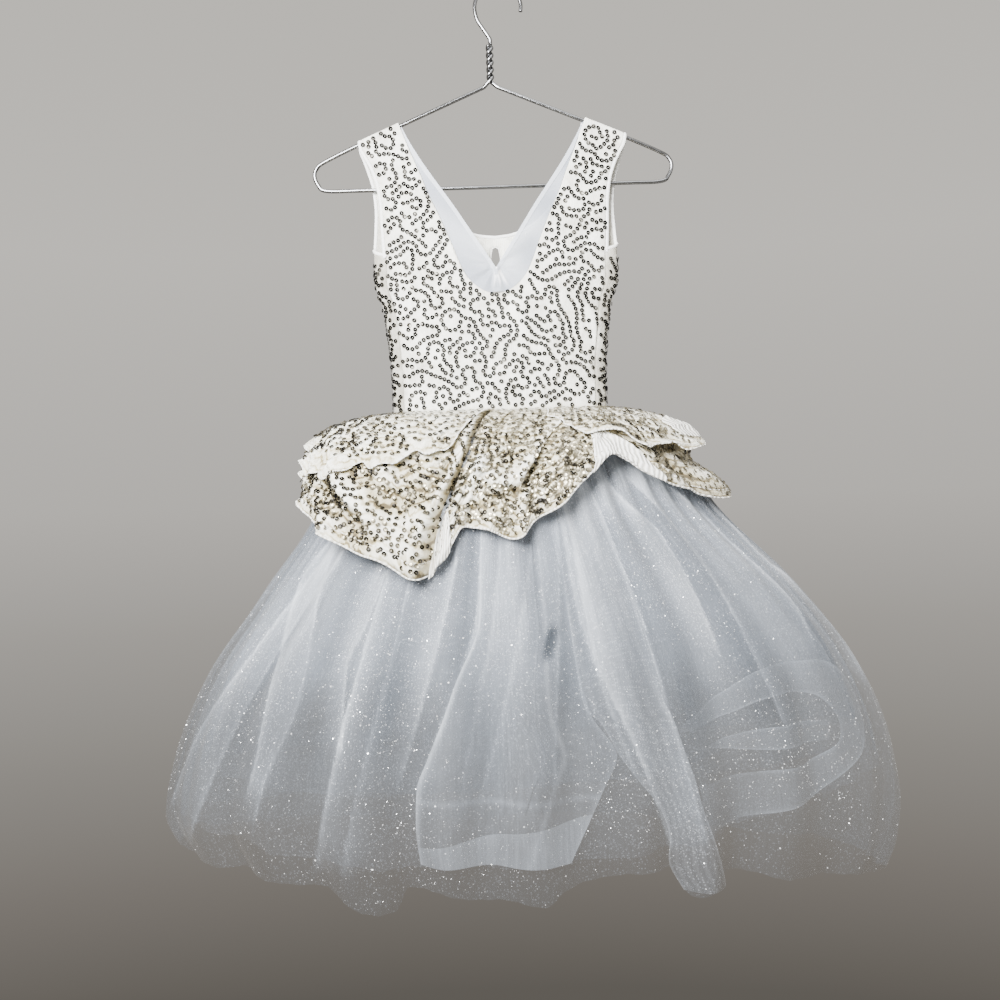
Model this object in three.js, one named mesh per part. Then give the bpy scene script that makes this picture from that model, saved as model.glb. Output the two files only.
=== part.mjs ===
// Child's ballet dress on a chrome wire hanger. Millimetres, +Z up, front faces -Y.
// The origin is the inside top of the hanger's hook.
import * as THREE from 'three';

// Driving dimensions
const CENTRE_X = -11;
const SEAM_GAP = 0.3;
const KNIT_WALL = 1.6;
const MESH_WALL = 1.2;
const TULLE_WALL = 1.2;
const WIRE_RADIUS = 2.25;
const HANGER_HALF = 210;
const APEX_Z = -115;
const ARM_SLOPE = 0.4266;
const BAR_Z = -235;
const TWIST_TURNS = 2.5;
const TWIST_PITCH = 17;
const HOOK_RADIUS = 25;
const STRAP_INNER = 111;
const STRAP_BEND = 3.45;
const STRAP_TOP = APEX_Z - ARM_SLOPE * STRAP_INNER + 3.75;
const UNDERARM_Z = -318;
const WAIST_Z = -500;
const SEAM_SHARE = 0.9;
const LAYER_STEP = 1.6;

// Half-widths from the centreline, by height
const BODY = [
  { z: -150, half: 182, front: 0, back: 0 },
  { z: -185, half: 172, front: 5, back: 4 },
  { z: -235, half: 158, front: 11, back: 8 },
  { z: -285, half: 147, front: 16, back: 11 },
  { z: -318, half: 142, front: 18, back: 13 },
  { z: -345, half: 142, front: 20, back: 14 },
  { z: -377, half: 133, front: 22, back: 15 },
  { z: -420, half: 127, front: 23, back: 15 },
  { z: -460, half: 124.5, front: 24, back: 16 },
  { z: -510, half: 124, front: 25, back: 16 },
];
const FRONT_ARMHOLE = [
  { z: -320, half: 127.8 },
  { z: -308, half: 128.6 },
  { z: -285, half: 129.5 },
  { z: -262, half: 130 },
  { z: -235, half: 133 },
  { z: -212, half: 140 },
  { z: -200, half: 146 },
  { z: -187, half: 152.5 },
  { z: -170, half: 155 },
];
const BACK_ARMHOLE = [
  { z: -306, half: 139.5 },
  { z: -285, half: 138 },
  { z: -262, half: 137 },
  { z: -235, half: 139 },
  { z: -212, half: 145 },
  { z: -200, half: 149 },
  { z: -187, half: 153.5 },
  { z: -170, half: 155 },
];
const NECKLINE = [
  { z: -365, half: 0 },
  { z: -363, half: 10 },
  { z: -356, half: 22 },
  { z: -345, half: 33 },
  { z: -330, half: 41 },
  { z: -300, half: 52.5 },
  { z: -270, half: 65 },
  { z: -246, half: 76 },
  { z: -222, half: 85 },
  { z: -190, half: 98 },
  { z: -155, half: 111 },
];
const INSERT_EDGE = [
  { z: -326, half: 0 },
  { z: -308, half: 12 },
  { z: -288, half: 27 },
  { z: -257, half: 49 },
  { z: -235, half: 64 },
  { z: -203, half: 85 },
  { z: -168, half: 104 },
  { z: -155, half: 109 },
];
const BACK_NECK = [
  { z: -295, half: 0 },
  { z: -293, half: 18 },
  { z: -288, half: 33 },
  { z: -270, half: 60 },
  { z: -240, half: 82 },
  { z: -200, half: 100 },
  { z: -155, half: 111 },
];
const KEYHOLE = [
  { z: -345, half: 0 },
  { z: -338, half: 6 },
  { z: -330, half: 7 },
  { z: -318, half: 6.5 },
  { z: -306, half: 4.5 },
  { z: -303, half: 0 },
];

// Skirt outline of the top layer, as distances from the centreline
const SKIRT = [
  { z: -503.3, left: 119, right: 119, front: 20, back: 12 },
  { z: -514, left: 146, right: 146, front: 50, back: 28 },
  { z: -532, left: 178, right: 182, front: 82, back: 46 },
  { z: -565, left: 203, right: 216, front: 108, back: 60 },
  { z: -613, left: 217, right: 245, front: 128, back: 70 },
  { z: -704, left: 281, right: 334, front: 150, back: 80 },
  { z: -794, left: 344, right: 402, front: 165, back: 86 },
  { z: -885, left: 384, right: 439, front: 175, back: 90 },
  { z: -950, left: 397, right: 449, front: 180, back: 90 },
  { z: -1002, left: 372, right: 441, front: 182, back: 88 },
  { z: -1040, left: 362, right: 424, front: 182, back: 88 },
];
const TOP_HEM = [
  { side: -1, z: -978 },
  { side: -0.9, z: -995 },
  { side: -0.7, z: -997 },
  { side: -0.53, z: -1009 },
  { side: -0.42, z: -1026 },
  { side: -0.34, z: -1026 },
  { side: -0.3, z: -1004 },
  { side: -0.2, z: -1006 },
  { side: -0.08, z: -1017 },
  { side: -0.02, z: -1013 },
  { side: 0.07, z: -1019 },
  { side: 0.12, z: -1007 },
  { side: 0.28, z: -992 },
  { side: 0.36, z: -990 },
  { side: 0.42, z: -1019 },
  { side: 0.48, z: -1018 },
  { side: 0.51, z: -1000 },
  { side: 0.64, z: -1011 },
  { side: 0.88, z: -1026 },
  { side: 1, z: -1037 },
];
const MIDDLE_HEM = [
  { side: -1, z: -950 },
  { side: -0.75, z: -968 },
  { side: -0.4, z: -985 },
  { side: 0, z: -985 },
  { side: 0.45, z: -969 },
  { side: 0.6, z: -948 },
  { side: 0.8, z: -932 },
  { side: 1, z: -910 },
];
const UNDER_HEM = [
  { side: -1, z: -895 },
  { side: -0.5, z: -912 },
  { side: 0, z: -905 },
  { side: 0.3, z: -898 },
  { side: 0.5, z: -884 },
  { side: 0.65, z: -866 },
  { side: 0.8, z: -860 },
  { side: 1, z: -868 },
];
const BACK_HEM = {
  top: { left: -978, middle: -998, right: -1037 },
  middle: { left: -950, middle: -960, right: -910 },
  under: { left: -895, middle: -890, right: -868 },
};
const FRONT_FOLDS = [
  { side: -1, out: 0 },
  { side: -0.9, out: 0.5 },
  { side: -0.8, out: -0.5 },
  { side: -0.66, out: 0.9 },
  { side: -0.53, out: -0.6 },
  { side: -0.38, out: 1 },
  { side: -0.28, out: -1 },
  { side: -0.17, out: 0.2 },
  { side: -0.06, out: -0.4 },
  { side: 0.06, out: 0.6 },
  { side: 0.16, out: -0.5 },
  { side: 0.3, out: 0.3 },
  { side: 0.37, out: -0.7 },
  { side: 0.45, out: 1 },
  { side: 0.54, out: -0.9 },
  { side: 0.68, out: 0.8 },
  { side: 0.79, out: -0.5 },
  { side: 0.9, out: 0.6 },
  { side: 1, out: 0 },
];
const BACK_FOLD_COUNT = 7;
const FOLD_DEPTH = 15;

// Skirt layers: steps inside the top layer at the waist, extra distance at the hem, share of the folds
const LAYERS = {
  drape: { step: -1, spread: -5, folds: 1 },
  top: { step: 0, spread: 0, folds: 1, hem: TOP_HEM },
  middle: { step: 1, spread: 17, folds: 0.8, hem: MIDDLE_HEM },
  under: { step: 2, spread: 34, folds: 0.6, hem: UNDER_HEM },
};
const DRAPE_EDGES = [
  { z: -500, left: -18, right: 50 },
  { z: -671, left: -26, right: 60 },
  { z: -730, left: -29, right: 66 },
  { z: -798, left: -56, right: 76 },
  { z: -831, left: -68, right: 84 },
  { z: -873, left: -86, right: 108 },
  { z: -903, left: -98, right: 96 },
  { z: -941, left: -100, right: 78 },
  { z: -979, left: -96, right: 58 },
];

// Peplum hem from the left seam across the front to the right seam, then its back from right to left
const PEPLUM_FRONT_HEM = [
  { at: 0, x: -225, y: -4, z: -540 },
  { at: 0.07, x: -219, y: -40, z: -560 },
  { at: 0.13, x: -222, y: -72, z: -588 },
  { at: 0.2, x: -212, y: -104, z: -616 },
  { at: 0.27, x: -186, y: -130, z: -640 },
  { at: 0.34, x: -140, y: -147, z: -660 },
  { at: 0.41, x: -92, y: -158, z: -682 },
  { at: 0.46, x: -64, y: -146, z: -662 },
  { at: 0.51, x: -42, y: -142, z: -630 },
  { at: 0.57, x: -10, y: -154, z: -636 },
  { at: 0.61, x: 12, y: -158, z: -643 },
  { at: 0.65, x: 30, y: -147, z: -627 },
  { at: 0.7, x: 56, y: -152, z: -612 },
  { at: 0.76, x: 90, y: -145, z: -582 },
  { at: 0.8, x: 116, y: -128, z: -556 },
  { at: 0.86, x: 165, y: -118, z: -581 },
  { at: 0.93, x: 220, y: -84, z: -602 },
  { at: 0.97, x: 256, y: -44, z: -608 },
  { at: 1, x: 262, y: -4, z: -606 },
];
const PEPLUM_BACK_HEM = [
  { at: 0, x: 262, y: 0, z: -606 },
  { at: 0.06, x: 258, y: 40, z: -604 },
  { at: 0.2, x: 190, y: 84, z: -606 },
  { at: 0.32, x: 110, y: 84, z: -604 },
  { at: 0.42, x: 52, y: 96, z: -612 },
  { at: 0.52, x: -6, y: 86, z: -604 },
  { at: 0.63, x: -66, y: 97, z: -612 },
  { at: 0.76, x: -134, y: 82, z: -598 },
  { at: 0.9, x: -206, y: 58, z: -570 },
  { at: 1, x: -225, y: 0, z: -540 },
];

// Smooth curve through a table's rows, without overshoot
function curve(table, key, column, at) {
  const rising = table[0][key] < table[table.length - 1][key];
  const rows = rising ? table : [...table].reverse();
  const last = rows.length - 1;
  if (at <= rows[0][key]) return rows[0][column];
  if (at >= rows[last][key]) return rows[last][column];
  let i = 0;
  while (rows[i + 1][key] < at) i += 1;
  const slope = (j) => (rows[j + 1][column] - rows[j][column]) / (rows[j + 1][key] - rows[j][key]);
  const tangent = (j) => {
    if (j === 0) return slope(0);
    if (j === last) return slope(last - 1);
    const before = slope(j - 1);
    const after = slope(j);
    return before * after <= 0 ? 0 : (2 * before * after) / (before + after);
  };
  const width = rows[i + 1][key] - rows[i][key];
  const t = (at - rows[i][key]) / width;
  const rise = 3 * t * t - 2 * t * t * t;
  const leave = t * t * t - 2 * t * t + t;
  const arrive = t * t * t - t * t;
  return rows[i][column] * (1 - rise) + rows[i + 1][column] * rise
    + width * (tangent(i) * leave + tangent(i + 1) * arrive);
}

function smooth(from, to, at) {
  const t = Math.min(1, Math.max(0, (at - from) / (to - from)));
  return t * t * (3 - 2 * t);
}

function steps(from, to, count) {
  return Array.from({ length: count + 1 }, (_, i) => from + ((to - from) * i) / count);
}

// Closed cloth wall around a surface: an outer and an inner skin, joined along every free edge
function thicken(surface, net, wall) {
  const reach = 0.001;
  const points = net.params.map(([u, v]) => surface(u, v));
  const normals = net.params.map(([u, v]) => {
    const du = surface(u + reach, v).sub(surface(u - reach, v));
    const dv = surface(u, v + reach).sub(surface(u, v - reach));
    return du.cross(dv).normalize();
  });
  const triangles = net.triangles.map(([a, b, c]) => {
    const face = points[b].clone().sub(points[a]).cross(points[c].clone().sub(points[a]));
    const agreement = face.dot(normals[a]) + face.dot(normals[b]) + face.dot(normals[c]);
    return agreement < 0 ? [a, c, b] : [a, b, c];
  });
  const count = points.length;
  const skin = (out) => points.map((p, i) => p.clone().addScaledVector(normals[i], out));
  const edges = triangles.flatMap(([a, b, c]) => [[a, b], [b, c], [c, a]]);
  const used = new Set(edges.map(String));
  const index = triangles.flatMap(([a, b, c]) => [a, b, c, a + count, c + count, b + count]);
  edges.forEach(([from, to]) => {
    if (used.has(String([to, from]))) return;
    index.push(to, from, from + count, to, from + count, to + count);
  });
  return solid([...skin(wall / 2), ...skin(-wall / 2)], index);
}

function solid(points, index) {
  const geometry = new THREE.BufferGeometry().setFromPoints(points);
  geometry.setIndex(index);
  geometry.computeVertexNormals();
  return geometry;
}

// Rows of parameters to vertices and triangles; equal parameters share one vertex
function netOf(patches) {
  const params = [];
  const known = new Map();
  const vertex = ([u, v]) => {
    const name = `${u.toFixed(4)},${v.toFixed(4)}`;
    if (!known.has(name)) {
      known.set(name, params.length);
      params.push([u, v]);
    }
    return known.get(name);
  };
  const triangles = [];
  const add = (a, b, c) => {
    if (a !== b && b !== c && a !== c) triangles.push([a, b, c]);
  };
  patches.forEach((rows) => {
    const net = rows.map((row) => row.map(vertex));
    for (let i = 0; i + 1 < net.length; i += 1) {
      for (let j = 0; j + 1 < net[i].length; j += 1) {
        add(net[i][j], net[i][j + 1], net[i + 1][j + 1]);
        add(net[i][j], net[i + 1][j + 1], net[i + 1][j]);
      }
    }
  });
  return { params, triangles };
}

// Bar with an oval section along a path; a ring if closed, else with flat ends
function sweep(centres, across, up, halfAcross, halfUp, sides, closed) {
  const angles = steps(0, 2 * Math.PI, sides).slice(0, sides);
  const points = centres.flatMap((centre, i) => angles.map((angle) => (
    centre.clone()
      .addScaledVector(across[i], halfAcross * Math.cos(angle))
      .addScaledVector(up[i], halfUp * Math.sin(angle))
  )));
  const rings = centres.length;
  const index = [];
  for (let i = 0; i < (closed ? rings : rings - 1); i += 1) {
    for (let j = 0; j < sides; j += 1) {
      const a = i * sides + j;
      const b = i * sides + ((j + 1) % sides);
      const c = ((i + 1) % rings) * sides + j;
      const d = ((i + 1) % rings) * sides + ((j + 1) % sides);
      index.push(a, b, d, a, d, c);
    }
  }
  if (!closed) {
    const last = (rings - 1) * sides;
    for (let j = 1; j + 1 < sides; j += 1) index.push(0, j + 1, j, last, last + j, last + j + 1);
  }
  return outward(solid(points, index));
}

// Turns a closed solid's faces outward
function outward(geometry) {
  const at = geometry.getAttribute('position');
  const index = geometry.getIndex();
  const corner = (i) => new THREE.Vector3().fromBufferAttribute(at, index.getX(i));
  let volume = 0;
  for (let i = 0; i < index.count; i += 3) volume += corner(i).dot(corner(i + 1).cross(corner(i + 2)));
  if (volume > 0) return geometry;
  for (let i = 0; i < index.count; i += 3) {
    const second = index.getX(i + 1);
    index.setX(i + 1, index.getX(i + 2));
    index.setX(i + 2, second);
  }
  geometry.computeVertexNormals();
  return geometry;
}

function tangents(points, closed) {
  const count = points.length;
  return points.map((_, i) => {
    const before = closed ? (i + count - 1) % count : Math.max(0, i - 1);
    const after = closed ? (i + 1) % count : Math.min(count - 1, i + 1);
    return points[after].clone().sub(points[before]).normalize();
  });
}

const group = new THREE.Group();

function addNode(name, geometry, colour, roughness, metalness = 0) {
  const material = new THREE.MeshStandardMaterial({ color: colour, roughness, metalness });
  const mesh = new THREE.Mesh(geometry, material);
  mesh.name = name;
  group.add(mesh);
}

// Bodice surface. x is measured from the centreline and level is the height at the strap's inner edge,
// so rows slope with the hanger's arms at the shoulders.
function heightAt(x, level) {
  return level - ARM_SLOPE * smooth(-235, STRAP_TOP, level) * (Math.abs(x) - STRAP_INNER);
}

// turn is the angle in degrees from the middle of the front or back; past 90 the section goes on round
function bodiceSurface(facing) {
  const sign = facing === 'front' ? -1 : 1;
  const other = facing === 'front' ? 'back' : 'front';
  return (turn, level) => {
    const angle = THREE.MathUtils.degToRad(turn);
    const x = curve(BODY, 'z', 'half', level) * Math.sin(angle);
    const round = Math.cos(angle);
    const depth = curve(BODY, 'z', round > 0 ? facing : other, level);
    const down = Math.min(1, Math.max(0, (STRAP_TOP - level) / STRAP_BEND));
    const bend = round > 0 ? STRAP_BEND * Math.sqrt(1 - (1 - down) ** 2) * smooth(-310, -200, level) : 0;
    return new THREE.Vector3(CENTRE_X + x, sign * (bend + depth * round), heightAt(x, level));
  };
}

// Angle where an edge table meets a sloping row
function edgeTurn(table, level, inset = 0) {
  let x = STRAP_INNER;
  for (let i = 0; i < 12; i += 1) x = curve(table, 'z', 'half', heightAt(x, level));
  return turnOf(Math.max(0, x - inset), level);
}

function turnOf(x, level) {
  return THREE.MathUtils.radToDeg(Math.asin(x / curve(BODY, 'z', 'half', level)));
}

const SHOULDER_LEVELS = [2.4, 30, 60, 90].map((bend) => (
  STRAP_TOP - STRAP_BEND * (1 - Math.cos(THREE.MathUtils.degToRad(bend)))
));
const NECK_LEVELS = [-178, -200, -222, -246, -270, -288, -305, UNDERARM_Z, -330, -338, -345, -356];
const LOW_LEVELS = [-365, -395, -430, -465, WAIST_Z];
const FRONT_LEVELS = [...SHOULDER_LEVELS, ...NECK_LEVELS, -363, ...LOW_LEVELS];
const BACK_LEVELS = [
  ...SHOULDER_LEVELS, -178, -200, -222, -246, -270, -280, -288, -293, -295, -299, -303, -306,
  -311, UNDERARM_Z, -330, -338, -345, -356, ...LOW_LEVELS,
];

// Rows from an outer edge to an inner edge on both sides of the centreline
function mirroredRows(levels, outerEdge, innerEdge, columns) {
  return [-1, 1].map((side) => levels.map((level) => (
    steps(outerEdge(level), innerEdge(level), columns).map((turn) => [side * turn, level])
  )));
}

function sideSeam(level) {
  return turnOf(curve(BODY, 'z', 'half', level) * SEAM_SHARE, level);
}

const seamHalfTurn = THREE.MathUtils.radToDeg(SEAM_GAP / 2 / 60);

// Bodice front
function frontOuter(level) {
  return level > UNDERARM_Z ? edgeTurn(FRONT_ARMHOLE, level) : sideSeam(level) - seamHalfTurn;
}

function frontInner(level) {
  return level > -365 ? edgeTurn(NECKLINE, level) : 0;
}

const frontSurface = bodiceSurface('front');
const frontNet = netOf(mirroredRows(FRONT_LEVELS, frontOuter, frontInner, 7));
addNode('bodice_front', thicken(frontSurface, frontNet, KNIT_WALL), 0xf1f1e8, 0.6);

// Bodice back, which comes round to the front as far as the side seams, with its keyhole
function backOuter(level) {
  if (level <= UNDERARM_Z) return 180 - sideSeam(level) - seamHalfTurn;
  const lift = smooth(-306, UNDERARM_Z, level);
  return edgeTurn(BACK_ARMHOLE, level) * (1 - lift) + (180 - sideSeam(UNDERARM_Z)) * lift;
}

function backInner(level) {
  if (level > -295) return edgeTurn(BACK_NECK, level);
  return level > -345 && level < -303 ? edgeTurn(KEYHOLE, level) : 0;
}

const backSurface = bodiceSurface('back');
const backNet = netOf(mirroredRows(BACK_LEVELS, backOuter, backInner, 6));
addNode('bodice_back', thicken(backSurface, backNet, KNIT_WALL), 0xe9e8dd, 0.6);

// Neck insert, inside the front neckline, pinched where its V edge meets
function insertSurface(turn, level) {
  const point = frontSurface(turn, level);
  const x = point.x - CENTRE_X;
  point.y -= 3 * Math.exp(-((x / 7) ** 2)) * smooth(-362, -330, level);
  return point;
}

const insertNet = netOf(mirroredRows(
  [...NECK_LEVELS, -326, -362.6].sort((a, b) => b - a),
  (level) => edgeTurn(NECKLINE, level - SEAM_GAP, SEAM_GAP + 0.1),
  (level) => (level > -326 ? edgeTurn(INSERT_EDGE, level) : 0),
  5,
));
addNode('neck_insert', thicken(insertSurface, insertNet, MESH_WALL), 0xdde0e4, 0.5);

// Bindings lie beside a cloth edge, in its surface. An edge is a list of surface, turn, level and the
// direction of turn that leads into the cloth.
const BINDING = { half: 1.9, thick: 0.9, sides: 6 };

function binding(edge, closed) {
  const points = edge.map(({ surface, turn, level }) => surface(turn, level));
  const along = tangents(points, closed);
  const normals = edge.map(({ surface, turn, level }) => {
    const du = surface(turn + 0.001, level).sub(surface(turn - 0.001, level));
    const dv = surface(turn, level + 0.001).sub(surface(turn, level - 0.001));
    return du.cross(dv).normalize();
  });
  const across = edge.map(({ surface, turn, level, into }, i) => {
    const out = along[i].clone().cross(normals[i]).normalize();
    const inside = surface(turn + into[0], level + into[1]).sub(points[i]);
    return out.dot(inside) > 0 ? out.negate() : out;
  });
  const up = across.map((out, i) => along[i].clone().cross(out).normalize());
  const beside = BINDING.half + SEAM_GAP + 0.1;
  const centres = points.map((point, i) => point.clone().addScaledVector(across[i], beside));
  return sweep(centres, across, up, BINDING.half, BINDING.thick, BINDING.sides, closed);
}

function armholeEdge(side) {
  const front = FRONT_LEVELS.filter((level) => level >= UNDERARM_Z).map((level) => (
    { surface: frontSurface, turn: side * frontOuter(level), level, into: [-side, 0] }
  ));
  const back = BACK_LEVELS.filter((level) => level > UNDERARM_Z).map((level) => (
    { surface: backSurface, turn: side * backOuter(level), level, into: [-side, level < -306 ? -2 : 0] }
  ));
  return [...front.slice(1), ...back.reverse().slice(0, -1)];
}

addNode('armhole_binding_left', binding(armholeEdge(-1), true), 0xf4f4f0, 0.6);
addNode('armhole_binding_right', binding(armholeEdge(1), true), 0xf4f4f0, 0.6);

const scoopLevels = BACK_LEVELS.filter((level) => level < STRAP_TOP - 1 && level >= -295);
const scoopHalf = (side) => scoopLevels.map((level) => (
  { surface: backSurface, turn: side * backInner(level + 0.01), level, into: [side, -1] }
));
const scoop = [...scoopHalf(-1), ...scoopHalf(1).reverse().slice(1)];
addNode('back_neck_binding', binding(scoop, false), 0xf4f4f0, 0.6);

// Keyhole binding
const holeLevels = BACK_LEVELS.filter((level) => level <= -303 && level >= -345);
const holeHalf = (side) => holeLevels.map((level) => (
  { surface: backSurface, turn: side * backInner(level), level, into: [side * 0.5, (level + 324) / 20] }
));
const hole = [...holeHalf(-1), ...holeHalf(1).reverse().slice(1, -1)];
addNode('keyhole_binding', binding(hole, true), 0xf4f4f0, 0.6);

// Skirt surface of one layer. turn is the angle from the middle of the front or back, x to the right.
function foldsAt(facing, turn) {
  if (facing === 'front') return curve(FRONT_FOLDS, 'side', 'out', Math.sin(THREE.MathUtils.degToRad(turn)));
  const fade = smooth(90, 70, Math.abs(turn));
  return fade * Math.sin(THREE.MathUtils.degToRad(turn * BACK_FOLD_COUNT));
}

function skirtSurface(facing, layer) {
  const sign = facing === 'front' ? -1 : 1;
  return (turn, z) => {
    const angle = THREE.MathUtils.degToRad(turn);
    const grow = Math.min(1.1, Math.max(0, (SKIRT[0].z - z) / 500));
    const inset = layer.step * LAYER_STEP + layer.spread * grow;
    const half = curve(SKIRT, 'z', turn < 0 ? 'left' : 'right', z) - inset;
    const depth = curve(SKIRT, 'z', facing, z) - inset;
    const x = Math.sin(angle);
    const y = Math.cos(angle);
    const size = Math.hypot(depth * x, half * y);
    const fold = FOLD_DEPTH * layer.folds * grow * foldsAt(facing, turn);
    return new THREE.Vector3(
      CENTRE_X + half * x + (fold * depth * x) / size,
      sign * (depth * y + (fold * half * y) / size),
      z - layer.step * LAYER_STEP,
    );
  };
}

const UPPER_ROWS = SKIRT.slice(0, 5).map((row) => row.z);
const FRONT_COLUMNS = 38;
const BACK_COLUMNS = 26;
const SIDE_TURN = 89.85;

// Heights of a layer's rows: shared by all layers near the waist, then spread down to its hem
function rowHeights(hem) {
  const hip = UPPER_ROWS[UPPER_ROWS.length - 1];
  return [...UPPER_ROWS, ...steps(hip, hem, 4).slice(1)];
}

function skirtNet(facing, name) {
  const columns = facing === 'front' ? FRONT_COLUMNS : BACK_COLUMNS;
  const turns = steps(-SIDE_TURN, SIDE_TURN, columns);
  const back = BACK_HEM[name];
  const columnsOfHeights = turns.map((turn) => {
    const side = Math.sin(THREE.MathUtils.degToRad(turn));
    const end = side < 0 ? back.left : back.right;
    const backHem = back.middle + (end - back.middle) * side * side;
    return rowHeights(facing === 'front' ? curve(LAYERS[name].hem, 'side', 'z', side) : backHem);
  });
  return netOf([columnsOfHeights[0].map((_, row) => (
    turns.map((turn, column) => [turn, columnsOfHeights[column][row]])
  ))]);
}

['top', 'middle', 'under'].forEach((name) => {
  ['front', 'back'].forEach((facing) => {
    const geometry = thicken(skirtSurface(facing, LAYERS[name]), skirtNet(facing, name), TULLE_WALL);
    addNode(`skirt_${name}_layer_${facing}`, geometry, 0xd5d9dc, 0.8);
  });
});

// Plain tulle drape over the front of the top layer
function drapeNet() {
  const hem = DRAPE_EDGES[DRAPE_EDGES.length - 1].z;
  const turnAt = (x, z) => {
    const half = curve(SKIRT, 'z', x < 0 ? 'left' : 'right', z);
    return THREE.MathUtils.radToDeg(Math.asin(x / half));
  };
  return netOf([rowHeights(hem).map((z) => {
    const left = turnAt(curve(DRAPE_EDGES, 'z', 'left', z), z);
    const right = turnAt(curve(DRAPE_EDGES, 'z', 'right', z), z);
    return steps(left, right, 10).map((turn) => [turn, z]);
  })]);
}

const drape = thicken(skirtSurface('front', LAYERS.drape), drapeNet(), TULLE_WALL);
addNode('skirt_front_drape', drape, 0xdadcdd, 0.8);

// Peplum: share runs along the waist and the hem, fall from the waist (0) to the hem (1)
const PEPLUM_REACH = 0.75;
const PEPLUM_LEAVE_Z = WAIST_Z - 6;
const GATHERS = { front: 13, back: 8, depth: 4 };

function peplumSurface(facing, hem) {
  const sign = facing === 'front' ? -1 : 1;
  return (share, fall) => {
    const angle = Math.PI * (share - 0.5) * 0.9985;
    const depth = curve(BODY, 'z', facing, WAIST_Z);
    const half = curve(BODY, 'z', 'half', WAIST_Z);
    const waistX = -sign * half * Math.sin(angle);
    const waistY = sign * depth * Math.cos(angle);
    const hemX = curve(hem, 'at', 'x', share);
    const hemY = curve(hem, 'at', 'y', share);
    const hemZ = curve(hem, 'at', 'z', share);
    const leave = 2 * fall * (1 - fall);
    const out = leave * PEPLUM_REACH + fall * fall;
    const start = WAIST_Z - SEAM_GAP - 0.5;
    const wave = Math.sin(2 * Math.PI * GATHERS[facing] * share) * Math.sin(Math.PI * share);
    const gather = GATHERS.depth * fall * wave;
    return new THREE.Vector3(
      CENTRE_X + waistX + (hemX - waistX) * out - sign * gather * Math.sin(angle),
      waistY + (hemY - waistY) * out + sign * gather * Math.cos(angle),
      start * (1 - fall) ** 2 + PEPLUM_LEAVE_Z * leave + hemZ * fall * fall,
    );
  };
}

const PEPLUM_ROWS = [0, 0.12, 0.3, 0.5, 0.75, 1];

[['front', PEPLUM_FRONT_HEM, 52], ['back', PEPLUM_BACK_HEM, 32]].forEach(([facing, hem, columns]) => {
  const net = netOf([PEPLUM_ROWS.map((fall) => steps(0, 1, columns).map((share) => [share, fall]))]);
  addNode(`peplum_${facing}`, thicken(peplumSurface(facing, hem), net, KNIT_WALL), 0xe9e3c8, 0.6);
});

// Hanger: one wire from the hook's tip down the twist, round the triangle and up the twist again
function hangerPath() {
  const radius = HOOK_RADIUS + WIRE_RADIUS;
  const rise = -HOOK_RADIUS;
  const hook = steps(-12, 192, 12).map((degrees) => {
    const angle = THREE.MathUtils.degToRad(degrees);
    return [radius * Math.cos(angle), 0, rise + radius * Math.sin(angle)];
  });
  const stem = [[-24, 0, -40], [-18.5, 0, -49], [-14, 0, -56], [CENTRE_X + 0.8, 0, -62]];
  const strand = (phase, from, to) => steps(from, to, 22).map((z) => {
    const angle = phase + (2 * Math.PI * (z - APEX_Z)) / TWIST_PITCH;
    return [CENTRE_X + 2.45 * Math.cos(angle), 2.45 * Math.sin(angle), z];
  });
  const top = APEX_Z + 3 + TWIST_TURNS * TWIST_PITCH;
  const down = strand(Math.PI, top + 3, APEX_Z + 3);
  const end = [
    [HANGER_HALF - 12, -201], [HANGER_HALF - 3, -208], [HANGER_HALF, -217], [HANGER_HALF - 4, -228],
    [HANGER_HALF - 14, BAR_Z],
  ];
  const shoulder = [[8, -118.6], [100, APEX_Z - 100 * ARM_SLOPE], [160, APEX_Z - 160 * ARM_SLOPE]];
  const side = [...shoulder, ...end];
  const left = side.map(([x, z]) => [CENTRE_X - x, 0, z]);
  const right = side.map(([x, z]) => [CENTRE_X + x, 0, z]).reverse();
  const up = strand(0, APEX_Z + 3, top);
  return [...hook, ...stem, ...down, ...left, ...right, ...up].map((p) => new THREE.Vector3(...p));
}

const wire = hangerPath();
const wireAlong = tangents(wire, false);
const wireAcross = wireAlong.map((t) => t.clone().cross(new THREE.Vector3(0, 1, 0)).normalize());
const wireUp = wireAlong.map((t, i) => t.clone().cross(wireAcross[i]).normalize());
addNode('hanger', sweep(wire, wireAcross, wireUp, WIRE_RADIUS, WIRE_RADIUS, 8, false), 0xc4c7cb, 0.2, 1);

export default group;
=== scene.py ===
import math

import bpy
import numpy as np
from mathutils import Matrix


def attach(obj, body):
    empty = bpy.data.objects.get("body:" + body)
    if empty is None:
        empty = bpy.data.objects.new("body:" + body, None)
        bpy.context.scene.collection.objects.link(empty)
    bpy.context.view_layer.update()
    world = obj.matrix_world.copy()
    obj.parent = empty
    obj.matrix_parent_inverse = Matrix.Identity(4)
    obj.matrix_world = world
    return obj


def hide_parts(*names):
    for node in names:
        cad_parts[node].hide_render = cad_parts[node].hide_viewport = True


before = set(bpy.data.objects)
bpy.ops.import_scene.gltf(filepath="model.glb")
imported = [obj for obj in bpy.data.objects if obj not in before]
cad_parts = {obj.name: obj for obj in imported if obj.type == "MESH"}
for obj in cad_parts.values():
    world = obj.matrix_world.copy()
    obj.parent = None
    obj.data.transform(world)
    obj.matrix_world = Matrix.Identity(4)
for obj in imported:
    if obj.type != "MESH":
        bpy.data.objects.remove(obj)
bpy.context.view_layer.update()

# Camera: level with the middle of the dress, 1.4 m in front of it, turned 1.7 degrees
# as the photograph is. The frame is square and 1.176 m wide at the dress.
eye = bpy.data.objects.new("camera", bpy.data.cameras.new("camera"))
bpy.context.collection.objects.link(eye)
bpy.context.scene.camera = eye
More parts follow.
